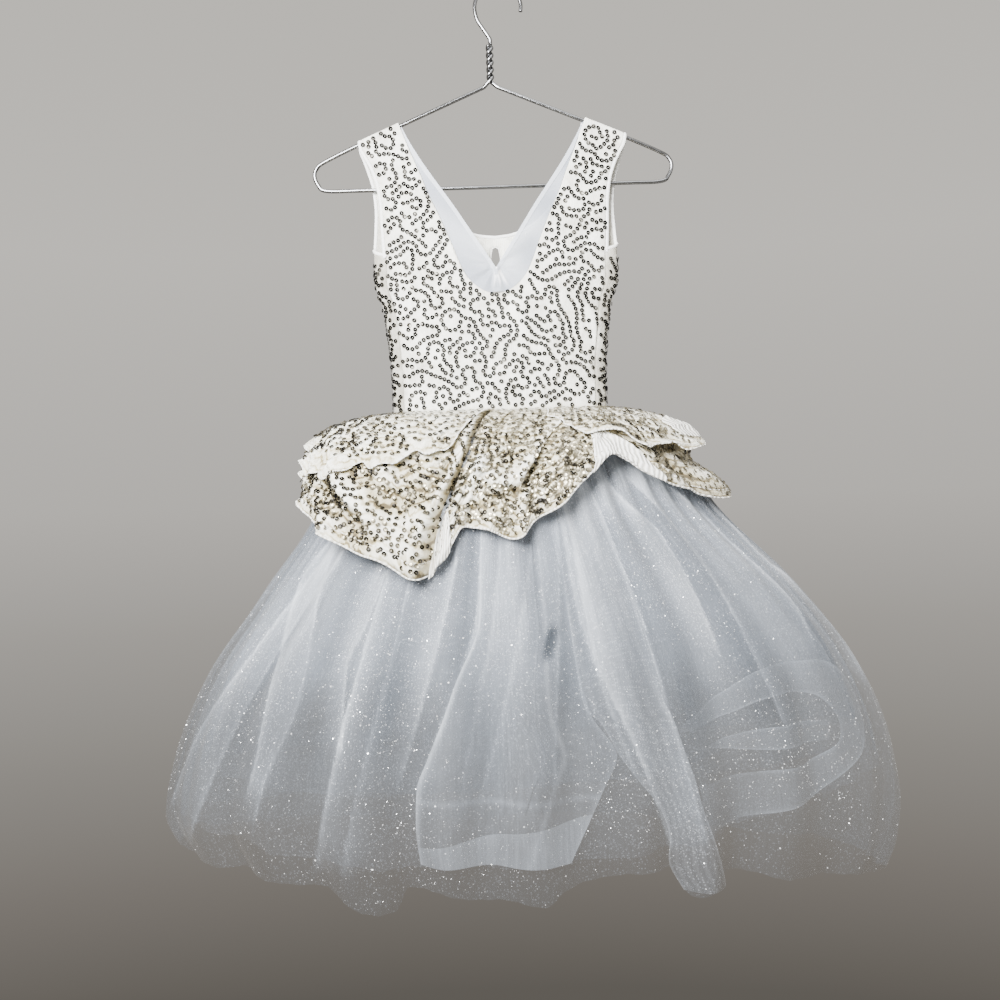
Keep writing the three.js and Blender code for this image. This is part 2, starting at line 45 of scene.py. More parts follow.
eye.location = (-0.0144, -1.4, -0.604)
eye.rotation_euler = (math.radians(90), math.radians(1.7), 0)
eye.data.angle = 2 * math.atan(0.588 / 1.4)
eye.data.clip_end = 50


def linear(colour):
    """Linear red, green, blue and alpha of an sRGB hex colour."""
    value = np.array([int(colour[i:i + 2], 16) for i in (1, 3, 5)]) / 255
    value = np.where(value <= 0.04045, value / 12.92, ((value + 0.055) / 1.055) ** 2.4)
    return (*value.tolist(), 1.0)


# Room light: a pale grey surround that darkens downwards, two large soft lamps in front
# and above, and a small pale floor well under the hem.
surround = bpy.data.worlds.new("surround")
bpy.context.scene.world = surround
surround.use_nodes = True
tree = surround.node_tree


def add_node(tree, kind, settings=None, stops=(), **links):
    """One shader node with its settings. Stops are the places and hex colours of a colour ramp. Links maps an
    input's name, or i and its number, to a value or an output."""
    node = tree.nodes.new(kind)
    for name, value in (settings or {}).items():
        setattr(node, name, value)
    if stops:
        band = node.color_ramp.elements
        while len(band) < len(stops):
            band.new(0.5)
        for element, (place, colour) in zip(band, stops):
            element.position, element.color = place, linear(colour)
    for name, value in links.items():
        numbered = name[0] == "i" and name[1:].isdigit()
        socket = node.inputs[int(name[1:]) if numbered else name.replace("_", " ")]
        if isinstance(value, bpy.types.NodeSocket):
            tree.links.new(value, socket)
        else:
            socket.default_value = value
    return node


direction = add_node(tree, "ShaderNodeTexCoord")
height = add_node(tree, "ShaderNodeSeparateXYZ", Vector=direction.outputs["Generated"])
rise = add_node(tree, "ShaderNodeMapRange", Value=height.outputs["Z"], From_Min=-0.5, From_Max=0.5)
shade = add_node(tree, "ShaderNodeValToRGB", Fac=rise.outputs[0], stops=[
    (0.12, "#625E58"), (0.21, "#7C7771"), (0.3, "#928E88"), (0.4, "#ABA7A1"), (0.5, "#C8C4BE"),
    (0.7, "#DCD8D1"), (0.88, "#D8D4CC"),
])
tree.nodes["Background"].inputs["Strength"].default_value = 1.0
tree.links.new(shade.outputs[0], tree.nodes["Background"].inputs["Color"])

lamps = [
    ("lamp_front_left", (-0.5, -1.2, 0.0), 0.7, 34, 100),
    ("lamp_front_right", (1.3, -1.5, 0.1), 1.2, 9, 180),
    ("lamp_top", (0.1, -0.55, 0.9), 0.9, 13, 180),
]
for name, place, size, power, spread in lamps:
    lamp = bpy.data.objects.new(name, bpy.data.lights.new(name, "AREA"))
    lamp.data.size = size
    lamp.data.energy = power
    lamp.data.spread = math.radians(spread)
    lamp.location = place
    aim = np.array([0, 0, -0.3]) - np.array(place)
    lamp.rotation_euler = (
        math.atan2(math.hypot(aim[0], aim[1]), -aim[2]), 0, math.atan2(aim[1], aim[0]) - math.pi / 2
    )
    bpy.context.collection.objects.link(lamp)


def make_piece(name, points, faces, material, places=None, smooth=True):
    """A mesh object at the origin from points, faces and, if given, a UV place for each point."""
    mesh = bpy.data.meshes.new(name)
    mesh.from_pydata(np.asarray(points).tolist(), [], faces if isinstance(faces, list) else faces.tolist())
    if places is not None:
        corner = np.empty(len(mesh.loops), dtype=np.int32)
        mesh.loops.foreach_get("vertex_index", corner)
        layer = mesh.uv_layers.new(name="cloth")
        layer.data.foreach_set("uv", np.asarray(places)[corner].astype(np.float32).ravel())
    mesh.polygons.foreach_set("use_smooth", [smooth] * len(mesh.polygons))
    mesh.materials.append(material)
    mesh.update()
    piece = bpy.data.objects.new(name, mesh)
    bpy.context.collection.objects.link(piece)
    return piece


def mark_points(piece, key, value):
    """A value from 0 to 1 stored at each point, which the material reads."""
    layer = piece.data.attributes.new(key, "FLOAT", "POINT")
    layer.data.foreach_set("value", np.clip(value, 0, 1).astype(np.float32).ravel())


def new_material(name):
    """An empty node material and its output node."""
    material = bpy.data.materials.new(name)
    material.use_nodes = True
    material.node_tree.nodes.clear()
    return material, material.node_tree, add_node(material.node_tree, "ShaderNodeOutputMaterial")


floor_paint, tree, out = new_material("pale painted floor")
paint = add_node(tree, "ShaderNodeBsdfPrincipled", Base_Color=linear("#D9D6D2"), Roughness=0.7)
tree.links.new(paint.outputs[0], out.inputs[0])
FLOOR_Z = -1.6
corners = [(-2, -2, FLOOR_Z), (2, -2, FLOOR_Z), (2, 0.85, FLOOR_Z), (-2, 0.85, FLOOR_Z)]
floor = make_piece("floor", corners, [(0, 1, 2, 3)], floor_paint, smooth=False)

# Hanger: one 4.5 mm chrome-plated steel wire, bent to a hook, twisted with its own end under
# the hook, and bent round to a triangle 420 mm wide that carries the straps. Its middle and the
# dress's are 11 mm left of the hook.
CENTRE_X = -11
WIRE_RADIUS, HOOK_RADIUS = 0.00225, 27.25
chrome, tree, out = new_material("bright chrome wire")
coords = add_node(tree, "ShaderNodeTexCoord")
# Plating has faint drawing marks and dull spots, which show as small changes in gloss.
marks = add_node(tree, "ShaderNodeTexNoise", Vector=coords.outputs["Object"], Scale=180.0, Detail=4.0)
gloss = add_node(tree, "ShaderNodeMapRange", Value=marks.outputs["Fac"], To_Min=0.08, To_Max=0.28)
plate = add_node(
    tree, "ShaderNodeBsdfPrincipled", Base_Color=linear("#858688"), Metallic=1.0, Roughness=gloss.outputs[0]
)
tree.links.new(plate.outputs[0], out.inputs[0])


def rounded_path(corners, count):
    """Points evenly along a Catmull-Rom curve through the given corners."""
    corners = np.asarray(corners, float)
    padded = np.vstack([2 * corners[0] - corners[1], corners, 2 * corners[-1] - corners[-2]])
    t = np.linspace(0, 1, 12, endpoint=False)[:, None]
    p = [padded[i:len(padded) - 3 + i, None, :] for i in range(4)]
    bent = 0.5 * (2 * p[1] + (p[2] - p[0]) * t + (2 * p[0] - 5 * p[1] + 4 * p[2] - p[3]) * t**2
                  + (3 * p[1] - p[0] - 3 * p[2] + p[3]) * t**3)
    line = np.vstack([bent.reshape(-1, 3), corners[-1:]])
    far = np.concatenate([[0], np.cumsum(np.linalg.norm(np.diff(line, axis=0), axis=1))])
    at = np.linspace(0, far[-1], count)
    return np.stack([np.interp(at, far, line[:, i]) for i in range(3)], axis=1)


def bar_along(path, across, up, width, height, sides, closed):
    """Oval bar: each ring is the path point plus width*cos along across and height*sin along up."""
    turn = np.linspace(0, 2 * np.pi, sides, endpoint=False)
    rings = (path[:, None] + width * np.cos(turn)[None, :, None] * across[:, None]
             + height * np.sin(turn)[None, :, None] * up[:, None])
    count = len(path)
    i, j = np.meshgrid(np.arange(count if closed else count - 1), np.arange(sides), indexing="ij")
    near, far = i * sides, (i + 1) % count * sides
    quads = np.stack([near + j, near + (j + 1) % sides, far + (j + 1) % sides, far + j], -1).reshape(-1, 4).tolist()
    if not closed:
        quads += [list(range(sides))[::-1], list(range((count - 1) * sides, count * sides))]
    return rings.reshape(-1, 3), quads


def direction_along(path, closed):
    """Unit tangents by central differences."""
    step = np.roll(path, -1, 0) - np.roll(path, 1, 0)
    if not closed:
        step[0], step[-1] = path[1] - path[0], path[-1] - path[-2]
    return step / np.linalg.norm(step, axis=1, keepdims=True)


hook_turn = np.radians(np.linspace(-12, 192, 13))
hook = np.stack([HOOK_RADIUS * np.cos(hook_turn), 0 * hook_turn, -25 + HOOK_RADIUS * np.sin(hook_turn)], 1)
stem = np.array([(-24, 0, -40), (-18.5, 0, -49), (-14, 0, -56), (-10.2, 0, -62)])


def twist(phase, start, end):
    """Helix round the neck's axis, radius 2.45 mm and pitch 17 mm."""
    radius, pitch = 2.45, 17
    z = np.linspace(start, end, 60)
    angle = phase + 2 * np.pi * (z + 115) / pitch
    return np.stack([CENTRE_X + radius * np.cos(angle), radius * np.sin(angle), z], 1)


side = np.array([
    (8, -118.6), (100, -157.66), (160, -183.26), (198, -201), (207, -208), (210, -217), (206, -228), (196, -235),
    (150, -235.6),
])
left_side = np.stack([CENTRE_X - side[:, 0], 0 * side[:, 0], side[:, 1]], 1)
right_side = np.stack([CENTRE_X + side[::-1, 0], 0 * side[:, 0], side[::-1, 1]], 1)
frame_wire = np.vstack([left_side, [(CENTRE_X, 0, -236)], right_side])
wire = np.vstack([
    rounded_path(np.vstack([hook, stem]), 120),
    twist(np.pi, -69.5, -112),
    rounded_path(frame_wire, 420),
    twist(0, -112, -69.5),
]) / 1000
along = direction_along(wire, False)
across = np.cross(along, (0, 1, 0))
across /= np.linalg.norm(across, axis=1, keepdims=True)
points, faces = bar_along(wire, across, np.cross(along, across), WIRE_RADIUS, WIRE_RADIUS, 12, False)
hanger = make_piece("hanger_wire", points, faces, chrome)
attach(hanger, "root")
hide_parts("hanger")

# Bodice front: stretch knit, ivory, cut with a wide neck and joined to the back at side seams
# that lie a little to the front; soft and slightly crumpled where nothing fills it.
BODY = {
    "z": [-510, -460, -420, -377, -345, -318, -285, -235, -185, -150],
    "half": [124, 124.5, 127, 133, 142, 142, 147, 158, 172, 182],
    "front": [25, 24, 23, 22, 20, 18, 16, 11, 5, 0],
    "back": [16, 16, 15, 15, 14, 13, 11, 8, 4, 0],
}
FRONT_ARMHOLE = {
    "z": [-320, -308, -285, -262, -235, -212, -200, -187, -170],
    "half": [127.8, 128.6, 129.5, 130, 133, 140, 146, 152.5, 155],
}
NECKLINE = {
    "z": [-365, -363, -356, -345, -330, -300, -270, -246, -222, -190, -155],
    "half": [0, 10, 22, 33, 41, 52.5, 65, 76, 85, 98, 111],
}
ARM_SLOPE, STRAP_INNER, STRAP_BEND = 0.4266, 111, 3.45
STRAP_TOP = -115 - ARM_SLOPE * STRAP_INNER + 3.75
UNDERARM, WAIST, NECK_LOW = -318, -500, -365
SEAM_GAP = 0.14  # degrees between the front's side edge and the back's
BODICE_CREASES = [
    # x and z of both ends, half-width and height in millimetres
    (12, -365, 38, -425, 6, 3.0),
    (105, -375, 122, -440, 5, 2.8),
    (92, -350, 118, -395, 5, -2.4),
    (-118, -370, -100, -430, 5, 1.2),
    (-20, -440, 30, -470, 7, 0.9),
]


def curve(table, key, column, at):
    """Monotone cubic through a table's rows: harmonic mean of the neighbouring slopes at each row."""
    x, y = np.asarray(table[key], float), np.asarray(table[column], float)
    at = np.clip(at, x[0], x[-1])
    slope = np.diff(y) / np.diff(x)
    product = slope[:-1] * slope[1:]
    total = np.where(product > 0, slope[:-1] + slope[1:], 1)
    middle = np.where(product > 0, 2 * product / total, 0)
    tangent = np.concatenate([slope[:1], middle, slope[-1:]])
    i = np.clip(np.searchsorted(x, at, side="right") - 1, 0, len(x) - 2)
    width = x[i + 1] - x[i]
    t = (at - x[i]) / width
    rise = 3 * t**2 - 2 * t**3
    return (y[i] * (1 - rise) + y[i + 1] * rise
            + width * (tangent[i] * (t**3 - 2 * t**2 + t) + tangent[i + 1] * (t**3 - t**2)))


def ease(start, end, at):
    """Smooth step from 0 at start to 1 at end."""
    t = np.clip((at - start) / (end - start), 0, 1)
    return t * t * (3 - 2 * t)


def height_at(x, level):
    """Height of a row at x: the row slopes with the hanger's arm near the shoulder."""
    return level - ARM_SLOPE * ease(-235, STRAP_TOP, level) * (np.abs(x) - STRAP_INNER)


def body_point(facing, turn, level):
    """Oval section: x is the half-width times sin(turn), y is the depth times cos(turn), plus the strap's bend
    over the wire."""
    sign = -1 if facing == "front" else 1
    other = "back" if facing == "front" else "front"
    angle = np.radians(turn)
    x = curve(BODY, "z", "half", level) * np.sin(angle)
    near = np.cos(angle)
    depth = np.where(near > 0, curve(BODY, "z", facing, level), curve(BODY, "z", other, level))
    down = np.clip((STRAP_TOP - level) / STRAP_BEND, 0, 1)
    bend = np.where(near > 0, STRAP_BEND * np.sqrt(1 - (1 - down) ** 2) * ease(-310, -200, level), 0)
    return np.stack([CENTRE_X + x, sign * (bend + depth * near), height_at(x, level)], -1)


def edge_x(table, level):
    """Half-width where a sloping row meets an edge table, found by repeating the look-up."""
    x = np.full_like(np.asarray(level, float), STRAP_INNER)
    for _ in range(14):
        x = curve(table, "z", "half", height_at(x, level))
    return x


def turn_at(x, level):
    """Angle round the section where its half-width reaches x."""
    return np.degrees(np.arcsin(np.clip(x / curve(BODY, "z", "half", level), 0, 1)))


def side_seam(level):
    """Angle where the section is nine tenths of its half-width."""
    return turn_at(0.9 * curve(BODY, "z", "half", level), level)


def grid_faces(rows, columns, start=0):
    """Quads between the points of a grid stored row by row."""
    i, j = np.meshgrid(np.arange(rows - 1), np.arange(columns - 1), indexing="ij")
    a = start + i * columns + j
    return np.stack([a, a + 1, a + columns + 1, a + columns], -1).reshape(-1, 4)


def join_points(points, places, faces):
    """Merges points that share a place and drops faces that lose their area."""
    rounded = np.round(points / 2e-6).astype(np.int64)
    _, first, back = np.unique(rounded, axis=0, return_index=True, return_inverse=True)
    faces = back.ravel()[faces]
    kept = [list(dict.fromkeys(face)) for face in faces.tolist()]
    return points[first], places[first], [face for face in kept if len(face) > 2]


def mirrored_panel(point, levels, outer, inner, columns):
    """Two grids, left and right of the centreline, each from an outer to an inner edge; the surface function
    gives the points and the UV place is the real millimetre across and down."""
    share = np.linspace(0, 1, columns)[None, :]
    level = np.repeat(levels[:, None], columns, 1)
    points, places, faces = [], [], []
    for sign in (1, -1):
        turn = sign * (outer[:, None] * (1 - share) + inner[:, None] * share)
        place = point(turn, level)
        grid = grid_faces(len(levels), columns, len(levels) * columns * (sign < 0))
        faces.append(grid[:, ::-1] if sign > 0 else grid)
        points.append(place.reshape(-1, 3))
        across = np.radians(turn) * curve(BODY, "z", "half", level)
        places.append(np.stack([across, level], -1).reshape(-1, 2) / 1000)
    return join_points(np.vstack(points) / 1000, np.vstack(places), np.vstack(faces))


def creases(x, z):
    """Small folds of the empty bodice, in millimetres outward: for each, height*exp(-(distance/width)^2) fading to
    its ends, and a slight quilting drawn by the rows of stitching."""
    total = 0
    for x0, z0, x1, z1, width, tall in BODICE_CREASES:
        run = np.clip(((x - x0) * (x1 - x0) + (z - z0) * (z1 - z0)) / ((x1 - x0) ** 2 + (z1 - z0) ** 2), 0, 1)
        away = np.hypot(x - x0 - run * (x1 - x0), z - z0 - run * (z1 - z0))
        total = total + tall * np.exp(-((away / width) ** 2)) * np.sin(np.pi * np.clip(run, 0.04, 0.96))
    return total + 0.55 * np.sin(x / 7.3 + 2 * np.sin(z / 31)) * np.sin(z / 8.1 + 2 * np.sin(x / 27))


def front_outer(level):
    """Armhole edge above the underarm, then the side seam."""
    return np.where(level > UNDERARM, turn_at(edge_x(FRONT_ARMHOLE, level), level), side_seam(level))


def front_inner(level):
    """Neckline down to its point, then nothing."""
    return np.where(level > NECK_LOW, turn_at(edge_x(NECKLINE, level), level), 0)


strap_levels = STRAP_TOP - STRAP_BEND * (1 - np.cos(np.radians(np.linspace(2.4, 90, 9))))
front_levels = np.unique(np.concatenate([
    strap_levels, np.arange(STRAP_TOP - 6, UNDERARM, -4.0), [-300.0, UNDERARM], np.arange(-322, -352, -3.0),
    np.arange(-352, -366, -1.0), np.arange(-370, WAIST, -5.0), [WAIST],
]))[::-1]
front_edge = front_outer(front_levels) - SEAM_GAP * (front_levels <= UNDERARM)


def front_cloth(turn, level):
    """Front of the body with its creases, which fade at the shoulders."""
    place = body_point("front", turn, level)
    place[..., 1] -= creases(place[..., 0] - CENTRE_X, place[..., 2]) * ease(-230, -330, level)
    return place


knit, tree, out = new_material("ivory stretch knit")
coords = add_node(tree, "ShaderNodeTexCoord")
# Knit stitches are about 1 mm; drawn at 2.2 mm so that the rib shows. Ivory, with painted shade: greyer, yellower
# hollows.
rib = add_node(tree, "ShaderNodeTexWave", {"bands_direction": "X"}, Vector=coords.outputs["UV"], Scale=140.0,
               Distortion=3.0, Detail=2.0, Detail_Scale=2.0)
crinkle = add_node(tree, "ShaderNodeTexNoise", Vector=coords.outputs["UV"], Scale=160.0, Detail=5.0, Roughness=0.6)
slow = add_node(tree, "ShaderNodeTexNoise", Vector=coords.outputs["UV"], Scale=34.0, Detail=3.0, Roughness=0.6)
# Painted shade: crests of the creases are painted near white, hollows and the turn of the sides a greyed ivory, as
# light falls on them.
crease_shade = add_node(tree, "ShaderNodeAttribute", {"attribute_name": "crease_shade"})
fine = add_node(tree, "ShaderNodeMath", {"operation": "MULTIPLY_ADD"}, i0=crinkle.outputs["Fac"], i1=0.35,
                i2=crease_shade.outputs["Fac"])
shaded = add_node(tree, "ShaderNodeMath", {"operation": "MULTIPLY_ADD"}, i0=slow.outputs["Fac"], i1=0.55,
                  i2=fine.outputs[0])
tone = add_node(tree, "ShaderNodeValToRGB", Fac=shaded.outputs[0], stops=[
    (0.56, "#A39F92"), (0.78, "#D3D0C5"), (0.92, "#F0EFE5"), (1.0, "#FFFFF5"),
])
mixed = add_node(tree, "ShaderNodeMath", {"operation": "MULTIPLY_ADD"}, i0=rib.outputs["Fac"], i1=0.35,
                 i2=crinkle.outputs["Fac"])
relief = add_node(tree, "ShaderNodeBump", Strength=0.5, Distance=0.0012, Height=mixed.outputs[0])
cloth = add_node(tree, "ShaderNodeBsdfPrincipled", Base_Color=tone.outputs[0], Roughness=0.7, Sheen_Weight=0.15,
                 Normal=relief.outputs[0])
tree.links.new(cloth.outputs[0], out.inputs[0])


def give_wall(piece):
    """Solidify about the middle, so that the cloth has its real thickness and a closed edge."""
    wall = piece.modifiers.new("wall", "SOLIDIFY")
    wall.thickness = 0.0012
    wall.offset = 0
    return wall


def bodice_panel(facing, surface, levels, outer, inner, columns):
    """Half panels joined at the centreline. The crease shade value, painted light and shade, is 0.45 on the flat,
    more on creases, and less beyond 50 degrees to the side, where the cloth turns from the light."""
    points, places, faces = mirrored_panel(surface, levels, outer, inner, columns)
    panel = make_piece(f"bodice_{facing}_cloth", points, faces, knit, places)
    turn = np.degrees(places[:, 0] * 1000 / curve(BODY, "z", "half", places[:, 1] * 1000))
    crease_shade = creases(points[:, 0] * 1000 - CENTRE_X, points[:, 2] * 1000)
    # Painted shade: lighter on crease crests, darker in their hollows and where the sides turn from the light.
    mark_points(panel, "crease_shade", 0.45 + 0.07 * crease_shade - 0.28 * ease(52, 84, np.abs(turn)))
    give_wall(panel)
    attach(panel, "root")
    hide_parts(f"bodice_{facing}")


bodice_panel("front", front_cloth, front_levels, front_edge, front_inner(front_levels), 40)

# Bodice back: the same knit, cut as one piece with a round scoop, and a small keyhole under it
# that opens the neck; it comes round to the front as far as the side seams.
BACK_ARMHOLE = {
    "z": [-306, -285, -262, -235, -212, -200, -187, -170],
    "half": [139.5, 138, 137, 139, 145, 149, 153.5, 155],
}
BACK_NECK = {"z": [-295, -293, -288, -270, -240, -200, -155], "half": [0, 18, 33, 60, 82, 100, 111]}
KEYHOLE = {"z": [-345, -338, -330, -318, -306, -303], "half": [0, 6, 7, 6.5, 4.5, 0]}
BACK_ARM_LOW, SCOOP_LOW, KEYHOLE_TOP, KEYHOLE_LOW = -306, -295, -303, -345
back_levels = np.unique(np.concatenate([
    strap_levels, np.arange(STRAP_TOP - 6, -285, -4.0), np.arange(-285, -347, -1.0), [UNDERARM],
    np.arange(-350, WAIST, -5.0), [WAIST],
]))[::-1]


def back_outer(level):
    """Armhole edge above the underarm, then the side seam, which lies past the side on the front."""
    lift = ease(BACK_ARM_LOW, UNDERARM, level)
    arm = turn_at(edge_x(BACK_ARMHOLE, level), level) * (1 - lift) + (180 - side_seam(np.array(UNDERARM))) * lift
    return np.where(level <= UNDERARM, 180 - side_seam(level) - SEAM_GAP, arm)


def back_inner(level):
    """Scoop, then nothing, then the keyhole's edge."""
    in_hole = (level < KEYHOLE_TOP) & (level > KEYHOLE_LOW)
    hole = np.where(in_hole, turn_at(edge_x(KEYHOLE, level), level), 0)
    return np.where(level > SCOOP_LOW, turn_at(edge_x(BACK_NECK, level), level), hole)


def back_cloth(turn, level):
    """Back of the body with its creases, which fade at the shoulders and where it comes round to the front."""
    place = body_point("back", turn, level)
    near = np.clip(np.cos(np.radians(turn)) * 4, 0, 1)
    place[..., 1] += near * creases(CENTRE_X - place[..., 0], place[..., 2]) * ease(-230, -330, level)
    return place


bodice_panel("back", back_cloth, back_levels, back_outer(back_levels), back_inner(back_levels), 36)

# Sequins: silver cups 5.3 mm across with a hole, sewn one by one along wandering lines that fill
# the panel and never cross.
SEQUIN_RADIUS = 0.00265
silver, tree, out = new_material("silver foil sequin")
coords = add_node(tree, "ShaderNodeTexCoord")
# Foil on plastic film: mirror-like; each cup's colour, from near black to grey by a 6 mm noise, is painted reflection
# that changes cup by cup as tilted cups mirror the room differently.
reflection_noise = add_node(tree, "ShaderNodeTexNoise", Vector=coords.outputs["Object"], Scale=170.0, Detail=1.0)
foil = add_node(tree, "ShaderNodeValToRGB", Fac=reflection_noise.outputs["Fac"], stops=[
    (0.42, "#070706"), (0.57, "#151412"), (0.66, "#3A3833"), (0.76, "#8C897F"),
])
cup = add_node(tree, "ShaderNodeBsdfPrincipled", Base_Color=foil.outputs[0], Metallic=0.8, Roughness=0.42,
               Specular_IOR_Level=0.25)
tree.links.new(cup.outputs[0], out.inputs[0])


FIELD = 540


def vermicelli(seed):
    """Places of sequins sewn in curling strings over a square field: each string steps 5.6 mm at a time, bends one
    way for a few steps and then the other, turns aside from what is sewn already and ends where it finds no room."""
    chance = np.random.default_rng(seed)
    step, clear, cell, longest, sharpest = 5.6, 6.7, 8.0, 60, 1.15
    sewn, strings = {}, []

    def room(x, y, own):
        """True where no sequin of another string, and none but the last two of this one, is near."""
        if not (0 <= x <= FIELD and 0 <= y <= FIELD):
            return False
        i, j = int(x // cell), int(y // cell)
        for a in (i - 1, i, i + 1):
            for b in (j - 1, j, j + 1):
                for px, py, string, order in sewn.get((a, b), ()):
                    if string == own[0] and own[1] - order < 3:
                        continue
                    if (x - px) ** 2 + (y - py) ** 2 < clear**2:
                        return False
        return True

    for attempt in range(int(FIELD * FIELD / 16)):
        x, y = chance.uniform(0, FIELD), chance.uniform(0, FIELD)
        order, places = 0, []
        if not room(x, y, (attempt, order)):
            continue
        heading, bend, left = chance.uniform(0, 2 * math.pi), chance.choice([-1.0, 1.0]), 0
        while order < longest:
            sewn.setdefault((int(x // cell), int(y // cell)), []).append((x, y, attempt, order))
            places.append((x, y))
            order += 1
            if left == 0:
                bend = math.copysign(chance.uniform(0.05, 1.0), -bend)
                left = int(chance.integers(2, 6))
            left -= 1
            for swerve in (0, 0.35, -0.35, 0.75, -0.75, sharpest, -sharpest):
                turn = heading + np.clip(bend + swerve, -sharpest, sharpest)
                to = (x + step * math.cos(turn), y + step * math.sin(turn))
                if room(*to, (attempt, order)):
                    (x, y), heading = to, turn
                    break
            else:
                break
        strings += places
    return np.array(strings)


def strewn(width, height, shift):
    """A piece cut from the sewn cloth: its places in that width and height, moved by shift to the piece's x and z."""
    kept = (sewn_cloth[:, 0] < width) & (sewn_cloth[:, 1] < height)
    return sewn_cloth[kept] + shift


sewn_cloth = vermicelli(4)


def cups_at(centres, normals, seed):
    """Shallow cups with a hole: three rings of points each, tilted a little at random."""
    chance = np.random.default_rng(seed)
    count, sides = len(centres), 9
    normals = normals + chance.normal(0, 0.16, (count, 3))
    normals /= np.linalg.norm(normals, axis=1, keepdims=True)
    first = np.cross(normals, (0.2, 0.3, 1.0))
    first /= np.linalg.norm(first, axis=1, keepdims=True)
    second = np.cross(normals, first)
    turn = np.linspace(0, 2 * np.pi, sides, endpoint=False)
    spoke = np.cos(turn)[:, None] * first[:, None] + np.sin(turn)[:, None] * second[:, None]
    # Distance from the middle and height over the cloth, as shares of the radius.
    profile = [(1.0, 0.24), (0.7, 0.12), (0.24, 0.1)]
    rings = [centres[:, None] + SEQUIN_RADIUS * (r * spoke + h * normals[:, None]) for r, h in profile]
    points = np.stack(rings, 1).reshape(-1, 3)
    n, k, j = np.meshgrid(np.arange(count), np.arange(len(profile) - 1), np.arange(sides), indexing="ij")
    a = (n * len(profile) + k) * sides
    quads = np.stack([a + j, a + (j + 1) % sides, a + sides + (j + 1) % sides, a + sides + j], -1)
    return points, quads.reshape(-1, 4)[:, ::-1]


def normals_of(surface, u, v):
    """Surface normals by central differences."""
    step = 0.05
    du = surface(u + step, v) - surface(u - step, v)
    dv = surface(u, v + step) - surface(u, v - step)
    normal = np.cross(du, dv)
    return normal / np.maximum(np.linalg.norm(normal, axis=-1, keepdims=True), 1e-12)


def sew_sequins(name, surface, u, v, lift, outward, material, seed):
    """Cups on a surface at parameters u and v, lifted by the cloth's half wall; outward turns them to one side."""
    normal = normals_of(surface, u, v) * outward
    centres = (surface(u, v) + lift * normal) / 1000
    points, faces = cups_at(centres, normal, seed)
    piece = make_piece(name, points, faces, material)
    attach(piece, "root")
    return piece


def panel_places(line, outer, inner):
    """From x and z on a flat panel to turn and level, keeping what lies 2.4 mm or more inside the panel's edges."""
    x, z = line[:, 0], line[:, 1]
    level = z.copy()
    for _ in range(12):
        level = z + ARM_SLOPE * ease(-235, STRAP_TOP, level) * (np.abs(x) - STRAP_INNER)
    half = curve(BODY, "z", "half", level)
    turn = np.degrees(np.arcsin(np.clip(x / half, -1, 1)))
    room = np.degrees(2.4 / half)
    opening = inner(level) + np.where(inner(level) > 0, room, 0)
    inside = (np.abs(turn) < outer(level) - room) & (np.abs(turn) > opening)
    inside &= (level < STRAP_TOP - 4) & (level > WAIST + 3) & (np.abs(x) < half)
    return turn[inside], level[inside]


BODICE_LIFT = 1.5
turn, level = panel_places(strewn(330, 350, (-165, -505)), front_outer, front_inner)
sew_sequins("bodice_front_sequins", front_cloth, turn, level, BODICE_LIFT, 1, silver, 5)

turn, level = panel_places(strewn(430, 350, (-285, -505)), lambda z: np.minimum(back_outer(z), 89.0), back_inner)
sew_sequins("bodice_back_sequins", back_cloth, turn, level, BODICE_LIFT, -1, silver, 10)

# The strip of the back panel that shows at the front's sides.
side_line = strewn(24, 180, (92, -502))
strip = side_line[(side_line[:, 0] < 180 - 66.5) & (side_line[:, 1] < UNDERARM - 4)]
both = np.concatenate([strip[:, 0], -strip[:, 0]])
sew_sequins("bodice_side_sequins", back_cloth, both, np.tile(strip[:, 1], 2), BODICE_LIFT, -1, silver, 13)

# Neck insert: smooth stretch mesh behind the front neckline, cut to a V, its edge folded to a
# narrow double band and drawn together in the middle.
INSERT_EDGE = {
    "z": [-335, -318, -290, -257, -235, -203, -168, -155],
    "half": [0, 10, 28, 49, 64, 85, 104, 109],
}
INSERT_LOW, PINCH_Z = -335, -331
sheer, tree, out = new_material("fine stretch mesh")
coords = add_node(tree, "ShaderNodeTexCoord")
# Power mesh holes are under 0.5 mm; drawn at 1.6 mm so that the weave just shows. White, half see-through.
holes = add_node(tree, "ShaderNodeTexVoronoi", Vector=coords.outputs["UV"], Scale=620.0)
veil = add_node(tree, "ShaderNodeMapRange", Value=holes.outputs["Distance"], From_Max=0.6, To_Min=0.94, To_Max=0.8)
# Bluish grey where single, white where it is folded double or gathered.
doubled = add_node(tree, "ShaderNodeAttribute", {"attribute_name": "doubled"})
whiter = add_node(tree, "ShaderNodeValToRGB", Fac=doubled.outputs["Fac"], stops=[
    (0.0, "#979EAA"), (0.5, "#C6CBD3"), (1.0, "#FFFFFF"),
])
relief = add_node(tree, "ShaderNodeBump", Strength=0.15, Distance=0.0004, Height=holes.outputs["Distance"])
mesh_cloth = add_node(tree, "ShaderNodeBsdfPrincipled", Base_Color=whiter.outputs[0], Roughness=0.5, Sheen_Weight=0.2,
                      Alpha=veil.outputs[0], Normal=relief.outputs[0])
tree.links.new(mesh_cloth.outputs[0], out.inputs[0])


def insert_cloth(turn, level, out=0.0):
    """The bodice surface with a ridge at the centre and small folds that run from the pinch."""
    place = body_point("front", turn, level)
    x, z = place[..., 0] - CENTRE_X, place[..., 2] - PINCH_Z
    from_pinch = np.hypot(x, z)
    folds = 1.4 * np.sin(9 * np.arctan2(x, z)) * np.exp(-from_pinch / 40) * ease(0, 14, from_pinch)
    place[..., 1] -= out + folds + 2.6 * pinch(x, level)
    return place


